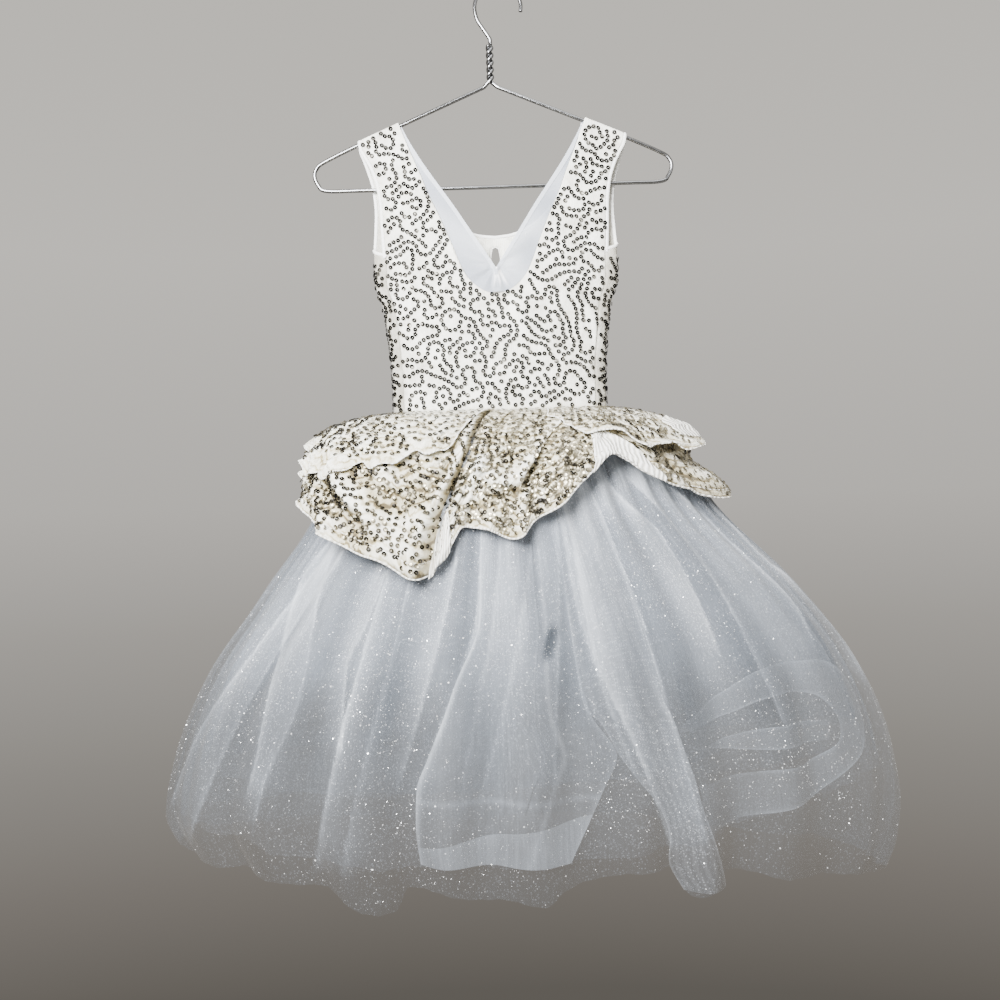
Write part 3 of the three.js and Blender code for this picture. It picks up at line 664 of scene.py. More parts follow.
def pinch(x, level):
    """Three wrinkles that run down from the point of the V, slanting to the viewer's right."""
    down = (PINCH_Z - level) / 30
    wrinkles = sum(np.exp(-(((x - lean * down) / 2.2) ** 2)) for lean in (-3, 6, 16))
    return wrinkles * ease(-362, -350, level) * ease(-329, -336, level)


insert_levels = np.unique(np.concatenate([
    np.arange(-166, -332, -3.0), np.arange(INSERT_LOW, -362, -1.5), [-362.6],
]))[::-1]
insert_outer = turn_at(edge_x(NECKLINE, insert_levels - 0.3) - 0.4, insert_levels)
insert_inner = np.where(insert_levels > INSERT_LOW, turn_at(edge_x(INSERT_EDGE, insert_levels), insert_levels), 0)
points, places, faces = mirrored_panel(insert_cloth, insert_levels, insert_outer, insert_inner, 44)
insert = make_piece("neck_insert_mesh", points, faces, sheer, places)
mark_points(insert, "doubled", 0.12 + 0.75 * pinch(points[:, 0] * 1000 - CENTRE_X, points[:, 2] * 1000)
            + 0.14 * np.sin(points[:, 2] * 90 + points[:, 0] * 60))
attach(insert, "root")
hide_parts("neck_insert")

band_levels = np.linspace(-168, -343, 60)
edge_turn = np.where(band_levels > INSERT_LOW, turn_at(edge_x(INSERT_EDGE, band_levels), band_levels), 0)
band_turn = turn_at(edge_x(INSERT_EDGE, np.minimum(band_levels + 5, -160)) + 2, band_levels)
room = turn_at(edge_x(NECKLINE, band_levels - 0.3) - 0.8, band_levels)
points, places, faces = mirrored_panel(
    lambda turn, level: insert_cloth(turn, level, 0.7), band_levels, np.minimum(band_turn, room), edge_turn, 5
)
insert_band = make_piece("neck_insert_band", points, faces, sheer, places)
mark_points(insert_band, "doubled", np.full(len(points), 0.5))
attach(insert_band, "root")

# Bindings: white stretch piping, 4 mm wide, folded over the edges of the armholes, the back
# scoop and the keyhole and sewn with one row of stitches.
piping, tree, out = new_material("white piping jersey")
coords = add_node(tree, "ShaderNodeTexCoord")
# Jersey rows are 0.6 mm; drawn at 1.5 mm. White with faint grey in the rows.
rows = add_node(tree, "ShaderNodeTexWave", {"bands_direction": "Z"}, Vector=coords.outputs["Object"], Scale=210.0,
                Distortion=2.0)
tone = add_node(tree, "ShaderNodeValToRGB", Fac=rows.outputs["Fac"], stops=[
    (0.0, "#DEDDD8"), (0.6, "#FFFFFD"),
])
relief = add_node(tree, "ShaderNodeBump", Strength=0.3, Distance=0.0004, Height=rows.outputs["Fac"])
jersey = add_node(tree, "ShaderNodeBsdfPrincipled", Base_Color=tone.outputs[0], Roughness=0.6, Sheen_Weight=0.2,
                  Normal=relief.outputs[0])
tree.links.new(jersey.outputs[0], out.inputs[0])


def bind_edge(name, edge, inside, closed, replaced, width=2.0):
    """Oval bar beside a cloth edge, pushed away from the panel's inside points."""
    path = edge / 1000
    along = direction_along(path, closed)
    away = edge / 1000 - inside / 1000
    away -= along * (away * along).sum(1, keepdims=True)
    away /= np.linalg.norm(away, axis=1, keepdims=True)
    up = np.cross(along, away)
    points, faces = bar_along(path + away * (width + 0.1) / 1000, away, up, width / 1000, 0.0011, 10, closed)
    piece = make_piece(name, points, faces, piping)
    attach(piece, "root")
    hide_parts(replaced)
    return piece


for name, sign in (("left", -1), ("right", 1)):
    up_front = np.linspace(UNDERARM, STRAP_TOP - 0.2, 60)
    front_turn = front_outer(up_front)
    down_back = np.concatenate([
        np.linspace(STRAP_TOP - 0.2, BACK_ARM_LOW, 56), np.linspace(BACK_ARM_LOW, UNDERARM + 0.5, 14)[1:],
    ])
    back_turn = back_outer(down_back)
    edge = np.vstack([
        body_point("front", sign * front_turn, up_front), body_point("back", sign * back_turn, down_back),
    ])
    deeper = np.where(down_back < BACK_ARM_LOW, -4.0, 0)
    inside = np.vstack([
        body_point("front", sign * (front_turn - 2), up_front),
        body_point("back", sign * (back_turn - 2), down_back + deeper),
    ])
    bind_edge(f"armhole_piping_{name}", edge, inside, True, f"armhole_binding_{name}")

scoop = np.concatenate([np.linspace(STRAP_TOP - 1, -285, 50), np.linspace(-285, SCOOP_LOW + 0.1, 14)[1:]])
scoop_turn = np.concatenate([-back_inner(scoop), back_inner(scoop)[::-1]])
scoop_level = np.concatenate([scoop, scoop[::-1]])
bind_edge(
    "back_neck_piping", body_point("back", scoop_turn, scoop_level),
    body_point("back", scoop_turn + 2 * np.sign(scoop_turn), scoop_level - 4), False, "back_neck_binding",
)
hole_middle, hole_half = (KEYHOLE_TOP + KEYHOLE_LOW) / 2, 20.9
hole_angle = np.linspace(0, 2 * np.pi, 48, endpoint=False)
hole_level = hole_middle + hole_half * np.cos(hole_angle)
hole_turn = turn_at(edge_x(KEYHOLE, hole_level), hole_level) * np.sign(np.sin(hole_angle))
hole_edge = body_point("back", hole_turn, hole_level)
middle = body_point("back", np.zeros(1), np.array([hole_middle]))
bind_edge("keyhole_piping", hole_edge, hole_edge + (hole_edge - middle), True, "keyhole_binding", 0.7)

# Peplum: a flounce of sequined ivory crinkle knit sewn into the waist seam, crushed from lying
# folded; its hem is a rolled edge and its plain ribbed underside is white.
PEPLUM_HEM = {
    "front": {
        "at": [0, 0.07, 0.13, 0.2, 0.27, 0.34, 0.41, 0.46, 0.51, 0.57, 0.61, 0.65, 0.7, 0.76, 0.8, 0.86, 0.93,
               0.97, 1],
        "x": [-225, -219, -222, -212, -186, -140, -92, -64, -42, -10, 12, 30, 56, 90, 116, 165, 220, 256, 262],
        "y": [-1, -40, -72, -104, -130, -147, -158, -146, -142, -154, -158, -147, -152, -145, -128, -118, -84,
              -44, -1],
        "z": [-540, -560, -588, -616, -640, -660, -682, -662, -630, -636, -643, -627, -612, -582, -556, -581, -602,
              -608, -606],
    },
    "back": {
        "at": [0, 0.06, 0.2, 0.32, 0.42, 0.52, 0.63, 0.76, 0.9, 1],
        "x": [262, 258, 190, 110, 52, -6, -66, -134, -206, -225],
        "y": [0, 40, 84, 84, 96, 86, 97, 82, 58, 0],
        "z": [-606, -604, -606, -604, -612, -604, -612, -598, -570, -540],
    },
}
PEPLUM_WIDE, PEPLUM_DEEP = {"front": 640, "back": 520}, 150
crushed, tree, out = new_material("ivory crinkle knit")
coords = add_node(tree, "ShaderNodeTexCoord")
# Crinkle of 2 to 6 mm from the cloth's crushed pleating, with thin darker lines of painted crease shade
# between; painted light and shade make it whiter than cream on the crests, straw and brown down in the folds.
crinkle = add_node(tree, "ShaderNodeTexNoise", Vector=coords.outputs["UV"], Scale=190.0, Detail=6.0, Roughness=0.65,
                   Distortion=1.2)
crease_lines = add_node(tree, "ShaderNodeTexWave", {"bands_direction": "Y"}, Vector=coords.outputs["UV"], Scale=42.0,
                   Distortion=9.0, Detail=3.0, Detail_Scale=1.6)
thin_line_shade = add_node(tree, "ShaderNodeMapRange", Value=crease_lines.outputs["Fac"], From_Max=0.38, To_Min=-0.28,
                      To_Max=0.0)
fold_shade = add_node(tree, "ShaderNodeAttribute", {"attribute_name": "fold"})
folded = add_node(tree, "ShaderNodeMath", {"operation": "MULTIPLY_ADD"}, i0=crinkle.outputs["Fac"], i1=0.45,
                  i2=fold_shade.outputs["Fac"])
lined = add_node(tree, "ShaderNodeMath", {"operation": "ADD"}, i0=folded.outputs[0], i1=thin_line_shade.outputs[0])
tone = add_node(tree, "ShaderNodeValToRGB", Fac=lined.outputs[0], stops=[
    (0.0, "#5E5236"), (0.14, "#A3966F"), (0.3, "#D8D1B8"), (0.49, "#F1EEDF"), (0.72, "#FFFFF4"),
])
height = add_node(tree, "ShaderNodeMath", {"operation": "MULTIPLY_ADD"}, i0=crease_lines.outputs["Fac"], i1=0.6,
                  i2=crinkle.outputs["Fac"])
relief = add_node(tree, "ShaderNodeBump", Strength=0.9, Distance=0.002, Height=height.outputs[0])
cloth = add_node(tree, "ShaderNodeBsdfPrincipled", Base_Color=tone.outputs[0], Roughness=0.65, Sheen_Weight=0.2,
                 Normal=relief.outputs[0])
tree.links.new(cloth.outputs[0], out.inputs[0])

ribbed, tree, out = new_material("white ribbed knit back")
coords = add_node(tree, "ShaderNodeTexCoord")
# Ribs run down the cloth; real ones are 1.5 mm apart, drawn 4 mm apart. Plain white, faintly cream.
ribs = add_node(tree, "ShaderNodeTexWave", {"bands_direction": "X"}, Vector=coords.outputs["UV"], Scale=78.0,
                Distortion=5.0, Detail=3.0)
tone = add_node(tree, "ShaderNodeValToRGB", Fac=ribs.outputs["Fac"], stops=[
    (0.0, "#D2CFC3"), (0.35, "#EEECE4"), (0.7, "#FCFBF7"),
])
relief = add_node(tree, "ShaderNodeBump", Strength=0.7, Distance=0.0015, Height=ribs.outputs["Fac"])
cloth = add_node(tree, "ShaderNodeBsdfPrincipled", Base_Color=tone.outputs[0], Roughness=0.7,
                 Normal=relief.outputs[0])
tree.links.new(cloth.outputs[0], out.inputs[0])

# Main folds of the flounce's front: along the seam (share 0 to 1) and down to the hem (fall 0 to 1).
FRONT_CREASES = [
    # share and fall of points along the crease, half-width and height in millimetres
    ([(0.482, 0.08), (0.492, 0.45), (0.492, 0.6), (0.465, 0.72), (0.438, 0.86), (0.43, 1.0)], 7, -17),
    ([(0.466, 0.1), (0.474, 0.45), (0.47, 0.6), (0.446, 0.7), (0.415, 0.84)], 6, 8),
    ([(0.535, 0.6), (0.524, 0.75), (0.506, 0.95)], 6, 7),
    ([(0.70, 0.35), (0.66, 0.58), (0.61, 0.72), (0.565, 0.78), (0.53, 0.7)], 7, 8),
    ([(0.70, 0.45), (0.655, 0.68), (0.60, 0.82), (0.56, 0.88)], 6, -7),
    ([(0.56, 0.1), (0.55, 0.4), (0.54, 0.6)], 6, -8),
    ([(0.30, 0.7), (0.34, 0.78), (0.40, 0.74), (0.44, 0.64)], 7, -8),
    ([(0.16, 0.86), (0.24, 0.84), (0.31, 0.9)], 7, -6),
    ([(0.22, 0.7), (0.28, 0.8), (0.36, 0.86), (0.40, 0.95)], 8, 6),
    ([(0.62, 0.98), (0.625, 0.85), (0.61, 0.72)], 6, 6),
    ([(0.80, 0.1), (0.79, 0.5), (0.80, 0.8)], 8, -9),
    ([(0.88, 0.4), (0.90, 0.7), (0.92, 0.95)], 8, -7),
]


def crush(u, v):
    """Sharp soft creases: four sets of slanting bands 1-|sin|, each bent by a slow wave, in millimetres."""
    bands = ((0.5, 47, 7.5, 0.3), (2.3, 33, 6.0, 1.9), (1.4, 23, 4.2, 4.0), (2.9, 13, 2.0, 0.8))
    total = 0
    for angle, gap, tall, phase in bands:
        run = u * math.cos(angle) + v * math.sin(angle)
        side = v * math.cos(angle) - u * math.sin(angle)
        band = 1 - np.abs(np.sin(np.pi * run / gap + 1.4 * np.sin(side / gap / 1.3 + phase)))
        total = total + tall * band**1.5 * (0.55 + 0.45 * np.sin(side / gap / 2.1 + 2 * phase))
    return total - 6.8


def crease_height(x, z):
    """Sum over the creases of height*exp(-(distance/width)^2), distance to the crease's line on the flat cloth."""
    total = np.zeros_like(x)
    for line, width, tall in FRONT_CREASES:
        path = rounded_path([(a * PEPLUM_WIDE["front"], b * PEPLUM_DEEP, 0) for a, b in line], 24)
        near = np.full(x.shape, 1e9)
        for (x0, z0, _), (x1, z1, _) in zip(path[:-1], path[1:]):
            dx, dz = x1 - x0, z1 - z0
            run = np.clip(((x - x0) * dx + (z - z0) * dz) / (dx * dx + dz * dz), 0, 1)
            near = np.minimum(near, np.hypot(x - x0 - run * dx, z - z0 - run * dz))
        total += tall * np.exp(-((near / width) ** 2))
    return total


def peplum_relief(facing, share, fall, shift=0.0):
    """Gathers, main creases and crush of the flounce in millimetres; shift slides the crush on a tier."""
    gathers = 13 if facing == "front" else 8
    x, z = share * PEPLUM_WIDE[facing], fall * PEPLUM_DEEP
    wide = 4 * fall * np.sin(2 * np.pi * gathers * share) * np.sin(np.pi * share)
    ripple = np.sin(2 * np.pi * share * gathers * 3.3 + 2.2 * np.sin(11 * share))
    fine = 9 * ripple * fall * np.exp(-(fall / 0.4) ** 2)
    rough = crush(x + shift, z + 0.6 * shift) * ease(0.03, 0.3, fall)
    main = crease_height(x, z) * ease(0, 0.2, fall) if facing == "front" and shift == 0 else 0
    return wide, fine + rough + main, rough


def peplum_point(facing, share, fall, lift=0.0, shift=0.0):
    """Quadratic curve from the waist out and down to the hem, with the relief along its outward direction. At its
    right end the flounce falls in by 24 mm under the tier."""
    sign = -1 if facing == "front" else 1
    hem = PEPLUM_HEM[facing]
    angle = np.pi * (share - 0.5) * 0.9985
    side, near = np.sin(angle), np.cos(angle)
    waist_x = -sign * curve(BODY, "z", "half", WAIST) * side
    waist_y = sign * curve(BODY, "z", facing, WAIST) * near
    leave = 2 * fall * (1 - fall)
    reach = leave * 0.75 + fall * fall
    wide, relief, rough = peplum_relief(facing, share, fall, shift)
    ends = ease(0, 0.08, share) * ease(1, 0.94, share)
    right_end = ease(0.87, 0.97, share) if facing == "front" else ease(0.13, 0.03, share)
    dip = 24 * right_end * np.exp(-(((fall - 0.75) / 0.12) ** 2)) * (lift < 3)
    out = wide + relief * ends + 4.0 * ease(0.02, 0.2, fall) + lift - dip
    return np.stack([
        CENTRE_X + waist_x + (curve(hem, "at", "x", share) - waist_x) * reach - sign * out * side,
        waist_y + (curve(hem, "at", "y", share) - waist_y) * reach + sign * out * near,
        -500.8 * (1 - fall) ** 2 - 506 * leave + curve(hem, "at", "z", share) * fall * fall
        + 0.4 * rough * ease(0.5, 1, fall) * ends + 0.25 * lift,
    ], -1)


def crumpled_sheet(name, facing, share, fall, lift, shift, material):
    """Grid of the flounce or of a tier of it, with its wall, its fold attribute of painted shade and its ribbed
    second side.
    """
    grid = peplum_point(facing, share, fall, lift, shift)
    rows, columns = share.shape
    places = np.stack([share * (PEPLUM_WIDE[facing] / 1000), fall * (PEPLUM_DEEP / 1000)], -1).reshape(-1, 2)
    piece = make_piece(name, grid.reshape(-1, 3) / 1000, grid_faces(rows, columns)[:, ::-1], material, places)
    piece.data.materials.append(ribbed)
    # Painted shade from the relief: lighter on crests, darker in folds and near the waist; a tier, standing proud, is
    # painted lighter as less shade falls on it.
    light = 0.37 if shift else 0.28
    relief = peplum_relief(facing, share, fall, shift)[1]
    mark_points(piece, "fold", light + relief / 26 - 0.14 * ease(0.32, 0.05, fall))
    give_wall(piece).material_offset = 1
    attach(piece, "root")
    return piece


def rolled_edge(name, facing, share, fall, lift, shift, thick):
    """Round roll along an edge given by share and fall."""
    edge = peplum_point(facing, share, fall, lift, shift)
    path = edge / 1000
    along = direction_along(path, False)
    away = edge - peplum_point(facing, share, fall - 0.02, lift, shift)
    away -= along * (away * along).sum(1, keepdims=True)
    away /= np.linalg.norm(away, axis=1, keepdims=True)
    points, faces = bar_along(path, away, np.cross(along, away), thick, thick, 8, False)
    places = np.repeat(np.stack([share, fall], 1), 8, 0) * (PEPLUM_WIDE["front"] / 1000, PEPLUM_DEEP / 1000)
    roll = make_piece(name, points, faces, ribbed, places)
    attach(roll, "root")
    return roll


def peplum_fan(sweep):
    """From places on the flat ring-shaped cut, 56 to 266 mm from its middle, to share along the waist and fall to
    the hem: fall is (sqrt(1 + stretch*down) - 1) / (sqrt(1 + stretch) - 1), because a step of fall runs about
    twice as far at the hem as at the waist."""
    inner, outer, stretch = 56, 266, 2.63
    line = strewn(FIELD, FIELD, (-FIELD / 2, -FIELD / 2))
    share = np.arctan2(line[:, 0], -line[:, 1]) / sweep + 0.5
    down = np.clip((np.hypot(line[:, 0], line[:, 1]) - inner) / (outer - inner), 0, None)
    fall = (np.sqrt(1 + stretch * down) - 1) / (math.sqrt(1 + stretch) - 1)
    kept = (share > 0.006) & (share < 0.994) & (fall > 0.03) & (fall < 0.982)
    return share[kept], fall[kept]


champagne, tree, out = new_material("champagne foil sequin")
coords = add_node(tree, "ShaderNodeTexCoord")
# The same foil, warmer on the flounce; its noise too is painted reflection, cup by cup.
reflection_noise = add_node(tree, "ShaderNodeTexNoise", Vector=coords.outputs["Object"], Scale=120.0, Detail=1.0)
# Painted light: paler from the middle to the right end, where these cups reflect more light.
across = add_node(tree, "ShaderNodeSeparateXYZ", Vector=coords.outputs["Object"])
painted_light_right = add_node(tree, "ShaderNodeMapRange", Value=across.outputs["X"], From_Min=-0.09, From_Max=0.07,
                 To_Min=0.0, To_Max=0.11)
shine = add_node(tree, "ShaderNodeMath", {"operation": "ADD"}, i0=reflection_noise.outputs["Fac"], i1=painted_light_right.outputs[0])
foil = add_node(tree, "ShaderNodeValToRGB", Fac=shine.outputs[0], stops=[
    (0.38, "#151310"), (0.5, "#38342A"), (0.6, "#7D7663"), (0.7, "#BDB59D"),
])
cup = add_node(tree, "ShaderNodeBsdfPrincipled", Base_Color=foil.outputs[0], Metallic=0.85, Roughness=0.32)
tree.links.new(cup.outputs[0], out.inputs[0])

# Tiers of the front: where the flounce was folded, a second thickness lies on it at each side.
TIERS = {
    "left": {"share": [0.012, 0.084, 0.15, 0.27, 0.323, 0.378, 0.43, 0.463, 0.48],
             "fall": [0.86, 0.86, 0.83, 0.68, 0.62, 0.55, 0.5, 0.3, 0.06]},
    "right": {"share": [0.64, 0.66, 0.70, 0.75, 0.782, 0.82, 0.843, 0.88, 0.93, 0.985],
              "fall": [0.06, 0.25, 0.42, 0.58, 0.70, 0.78, 0.80, 0.72, 0.70, 0.58]},
}


def tier_low(tier, share):
    """Fall of a tier's lower edge, which wanders as a crushed edge does."""
    return curve(TIERS[tier], "share", "fall", share) + 0.022 * np.sin(61 * share) + 0.014 * np.sin(143 * share + 1)


def tier_lift(fall, low):
    """A tier leaves the flounce at the waist and stands 8 mm off at its edge."""
    return 1.5 + 6.5 * np.clip(fall / np.maximum(low, 0.05), 0, 1) ** 1.3


# Places where the cloth is turned over and its white ribbed back shows at the front.
TURNED = {
    "right": {"share": [0.77, 0.79, 0.826, 0.85, 0.872], "top": [0.66, 0.68, 0.8, 0.9, 0.985],
              "low": 1.015, "lift": 2.4, "shift": 0.0},
    "left": {"share": [0.425, 0.437, 0.45, 0.465, 0.476], "top": [0.97, 0.84, 0.8, 0.86, 0.97],
             "low": 1.015, "lift": 2.4, "shift": 0.0},
    "cuff": {"share": [0.925, 0.935, 0.95, 0.964, 0.974], "top": [0.56, 0.42, 0.34, 0.38, 0.5],
             "low": 0.59, "lift": 9.3, "shift": 61.0},
}


def turned_patch(side):
    """Patch between a curved upper edge and an even lower one, a little proud of the cloth and fullest midway."""
    shape = TURNED[side]
    across = np.linspace(shape["share"][0], shape["share"][-1], 70)
    top = curve(shape, "share", "top", across)[None, :]
    down = np.linspace(0, 1, 30)[:, None]
    return crumpled_sheet(
        f"peplum_{side}_turned_edge", "front", np.repeat(across[None, :], 30, 0), top + (shape["low"] - top) * down,
        shape["lift"] + 1.6 * np.sin(np.pi * down), shape["shift"], ribbed,
    )


PEPLUM_LIFT = 1.6
for facing, columns, sweep, seed in (("front", 400, 3.9, 24), ("back", 260, 3.0, 22)):
    share, fall = np.meshgrid(np.linspace(0, 1, columns), np.linspace(0, 1, 72) ** 1.1, indexing="xy")
    flounce = crumpled_sheet(f"peplum_{facing}_cloth", facing, share, fall, 0.0, 0.0, crushed)
    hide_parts(f"peplum_{facing}")
    share, fall = peplum_fan(sweep)
    if facing == "front":
        for tier, (shift, tier_seed) in {"left": (37.0, 23), "right": (61.0, 24)}.items():
            ends = TIERS[tier]["share"][0], TIERS[tier]["share"][-1]
            low = tier_low(tier, share)
            inside = (share > ends[0]) & (share < ends[1]) & (fall < low - 0.04)
            bare = 0.16 * ease(0.33, 0.2, share) if tier == "left" else 0
            sewn = inside & (fall < low - bare)
            tier_trims = [sew_sequins(
                f"peplum_{tier}_tier_sequins",
                lambda u, v: peplum_point("front", u, v, tier_lift(v, tier_low(tier, u)), shift),
                share[sewn], fall[sewn], PEPLUM_LIFT, -1, champagne, tier_seed,
            )]
            share, fall = share[~inside], fall[~inside]
            across = np.linspace(*ends, 230)
            low = tier_low(tier, across)
            down = np.linspace(0.03, 1, 40)[:, None]
            tier_fall = 0.012 + (low[None, :] - 0.012) * down
            folded_over = crumpled_sheet(
                f"peplum_{tier}_tier_cloth", "front", np.repeat(across[None, :], 40, 0), tier_fall,
                tier_lift(tier_fall, low[None, :]), shift, crushed,
            )
            tier_trims.append(
                rolled_edge(f"peplum_{tier}_tier_edge", "front", across, low, tier_lift(low, low), shift, 0.0008)
            )
            if tier == "right":
                tier_trims.append(turned_patch("cuff"))
    edge = np.linspace(0.001, 0.999, 440)
    trims = [
        sew_sequins(f"peplum_{facing}_sequins", lambda u, v: peplum_point(facing, u, v), share, fall, PEPLUM_LIFT, -1,
                    champagne, seed),
        rolled_edge(f"peplum_{facing}_rolled_edge", facing, edge, np.ones(440), 0.0, 0.0, 0.0011),
        rolled_edge(f"peplum_{facing}_edge_seam", facing, edge, np.full(440, 0.955), 0.5, 0.0, 0.0006),
    ]
    if facing == "front":
        trims += [turned_patch("right"), turned_patch("left")]

# Skirt: three layers of soft tulle gathered into the waist seam. The top and middle layers are
# glitter tulle, the under layer is plain; where plies lie on each other the cloth turns whiter.
SKIRT_TOP = -503.3
SKIRT = {
    "z": [-1040, -1002, -950, -885, -794, -704, -613, -565, -532, -514, SKIRT_TOP],
    "left": [362, 372, 397, 384, 344, 281, 217, 203, 178, 146, 119],
    "right": [424, 441, 449, 439, 402, 334, 245, 216, 182, 146, 119],
    "front": [182, 182, 180, 175, 165, 150, 128, 108, 82, 50, 20],
    "back": [88, 88, 90, 90, 86, 80, 70, 60, 46, 28, 12],
}
FRONT_FOLDS = {
    "side": [-1, -0.9, -0.8, -0.66, -0.53, -0.38, -0.28, -0.17, -0.06, 0.06, 0.16, 0.3, 0.37, 0.45, 0.54, 0.68, 0.79,
             0.9, 1],
    "out": [0, 0.5, -0.5, 0.9, -0.6, 1, -1, 0.2, -0.4, 0.6, -0.5, 0.3, -0.7, 1, -0.9, 0.8, -0.5, 0.6, 0],
}
HEMS = {
    "top": {
        "side": [-1, -0.9, -0.7, -0.53, -0.42, -0.34, -0.3, -0.2, -0.08, -0.02, 0.07, 0.12, 0.28, 0.36, 0.42, 0.48,
                 0.51, 0.64, 0.88, 1],
        "z": [-978, -995, -997, -1009, -1026, -1026, -1004, -1006, -1017, -1013, -1019, -1007, -992, -990, -1019,
              -1018, -1000, -1011, -1026, -1037],
        "back": (-978, -998, -1037),
    },
    "middle": {
        "side": [-1, -0.75, -0.4, 0, 0.45, 0.6, 0.8, 1],
        "z": [-950, -968, -985, -985, -969, -948, -932, -910],
        "back": (-950, -960, -910),
    },
    "under": {
        "side": [-1, -0.5, 0, 0.3, 0.5, 0.65, 0.8, 1],
        "z": [-895, -912, -905, -898, -884, -866, -860, -868],
        "back": (-895, -890, -868),
    },
}
# Order from the top layer inward, millimetres further in at the hem, share of the broad folds.
LAYERS = {"drape": (-1, -5, 1.0), "top": (0, 0, 1.0), "middle": (1, 17, 0.8), "under": (2, 34, 0.6)}
LAYER_STEP = 1.6


def fine_folds(angle, z, step):
    """Waist gathers that fade by mid length, wider folds below them and a slow sway, in millimetres."""
    gather = 3.0 * np.sin(52 * angle + 1.7 * np.sin(3.1 * angle) + 0.4 * step)
    fold = 4.6 * np.sin(21 * angle + 1.3 * np.sin(2 * angle + 1) + 0.5 * step + 0.6 * np.sin(z / 130))
    small = 1.9 * np.sin(37 * angle + 2.1 * np.sin(z / 90 + angle) + step)
    return (gather * ease(-503, -535, z) * ease(-830, -580, z) + fold * ease(-560, -790, z)
            + small * ease(-600, -860, z))


def skirt_point(facing, layer, turn, z):
    """Oval section from the table, moved in by the layer's place, with the broad folds of the CAD form and
    the finer ones laid along the oval's normal."""
    step, spread, share = LAYERS[layer]
    sign = -1 if facing == "front" else 1
    angle = np.radians(turn)
    grow = np.clip((SKIRT_TOP - z) / 500, 0, 1.1)
    inset = step * LAYER_STEP + spread * grow
    half = np.where(turn < 0, curve(SKIRT, "z", "left", z), curve(SKIRT, "z", "right", z)) - inset
    depth = curve(SKIRT, "z", facing, z) - inset
    if facing == "front":
        broad = curve(FRONT_FOLDS, "side", "out", np.sin(angle))
    else:
        broad = ease(90, 70, np.abs(turn)) * np.sin(angle * 7)
    edge = ease(89.8, 82, np.abs(turn))
    fold = 15 * share * grow * broad + fine_folds(angle, z, step) * edge
    x, y = np.sin(angle), np.cos(angle)
    size = np.hypot(depth * x, half * y)
    return np.stack([
        CENTRE_X + half * x + fold * depth * x / size,
        sign * (depth * y + fold * half * y / size),
        z - step * LAYER_STEP,
    ], -1)


def hem_at(facing, layer, turn):
    """Height of a layer's cut edge, with the small unevenness of scissors."""
    side = np.sin(np.radians(turn))
    uneven = 0.6 * np.sin(turn * 0.9) + 0.4 * np.sin(turn * 2.1 + 1)
    if facing == "front":
        return curve(HEMS[layer], "side", "z", side) + uneven
    left, middle, right = HEMS[layer]["back"]
    return middle + (np.where(side < 0, left, right) - middle) * side**2 + uneven


def tulle_material(name, colour, thin, dense, glint):
    """Net of fine threads, drawn as cover: more at the waist and in folds, in streaks along the fall. The
    attribute ply is the cloth's share there, 0 thin to 1 dense; glint is the cover of a glitter dot."""
    material, tree, out = new_material(name)
    coords = add_node(tree, "ShaderNodeTexCoord")
    # Real net is 1 mm holes; its visible grain is drawn as 3 mm wide lines down the cloth, finely broken.
    stretch = add_node(tree, "ShaderNodeMapping", Vector=coords.outputs["UV"], Scale=(360.0, 16.0, 1.0))
    grain = add_node(tree, "ShaderNodeTexNoise", Vector=stretch.outputs[0], Scale=1.0, Detail=4.0, Roughness=0.75)
    lines = add_node(tree, "ShaderNodeMapRange", Value=grain.outputs["Fac"], From_Min=0.3, From_Max=0.7,
                     To_Min=0.78, To_Max=1.22)
    cloudy = add_node(tree, "ShaderNodeTexNoise", Vector=coords.outputs["UV"], Scale=16.0, Detail=2.0)
    clouds = add_node(tree, "ShaderNodeMapRange", Value=cloudy.outputs["Fac"], From_Min=0.3, From_Max=0.7,
                      To_Min=0.75, To_Max=1.25)
    ply = add_node(tree, "ShaderNodeAttribute", {"attribute_name": "ply"})
    cover = add_node(tree, "ShaderNodeMapRange", Value=ply.outputs["Fac"], To_Min=thin, To_Max=dense)
    uneven = add_node(tree, "ShaderNodeMath", {"operation": "MULTIPLY"}, i0=cover.outputs[0], i1=clouds.outputs[0])
    streaked = add_node(tree, "ShaderNodeMath", {"operation": "MULTIPLY"}, i0=uneven.outputs[0], i1=lines.outputs[0])
    # Dots of dust-fine glitter 3 mm apart; the real ones lie 2 mm apart.
    dots = add_node(tree, "ShaderNodeTexVoronoi", Vector=coords.outputs["UV"], Scale=340.0)
    dust = add_node(tree, "ShaderNodeMapRange", Value=dots.outputs["Distance"], From_Min=0.14, From_Max=0.34,
                    To_Min=glint, To_Max=0.0)
    total = add_node(tree, "ShaderNodeMath", {"operation": "ADD", "use_clamp": True}, i0=streaked.outputs[0],
                     i1=dust.outputs[0])
    # Painted shade: troughs of the folds are painted bluish grey and their crests white; doubled edges are white as
    # the cloth is denser there.
    tone = add_node(tree, "ShaderNodeAttribute", {"attribute_name": "tone"})
    grained = add_node(tree, "ShaderNodeMath", {"operation": "MULTIPLY_ADD"}, i0=grain.outputs["Fac"], i1=0.22,
                       i2=tone.outputs["Fac"])
    glinting = add_node(tree, "ShaderNodeMath", {"operation": "MULTIPLY_ADD"}, i0=dust.outputs[0], i1=2.0,
                        i2=grained.outputs[0])
    shades = add_node(tree, "ShaderNodeValToRGB", Fac=glinting.outputs[0], stops=[
        (0.1, "#5A626C"), (0.46, colour), (0.95, "#DDE3EB"),
    ])
    net = add_node(tree, "ShaderNodeBsdfPrincipled", Base_Color=shades.outputs[0], Roughness=0.75,
                   Sheen_Weight=0.25, Alpha=total.outputs[0])
    tree.links.new(net.outputs[0], out.inputs[0])
    return material


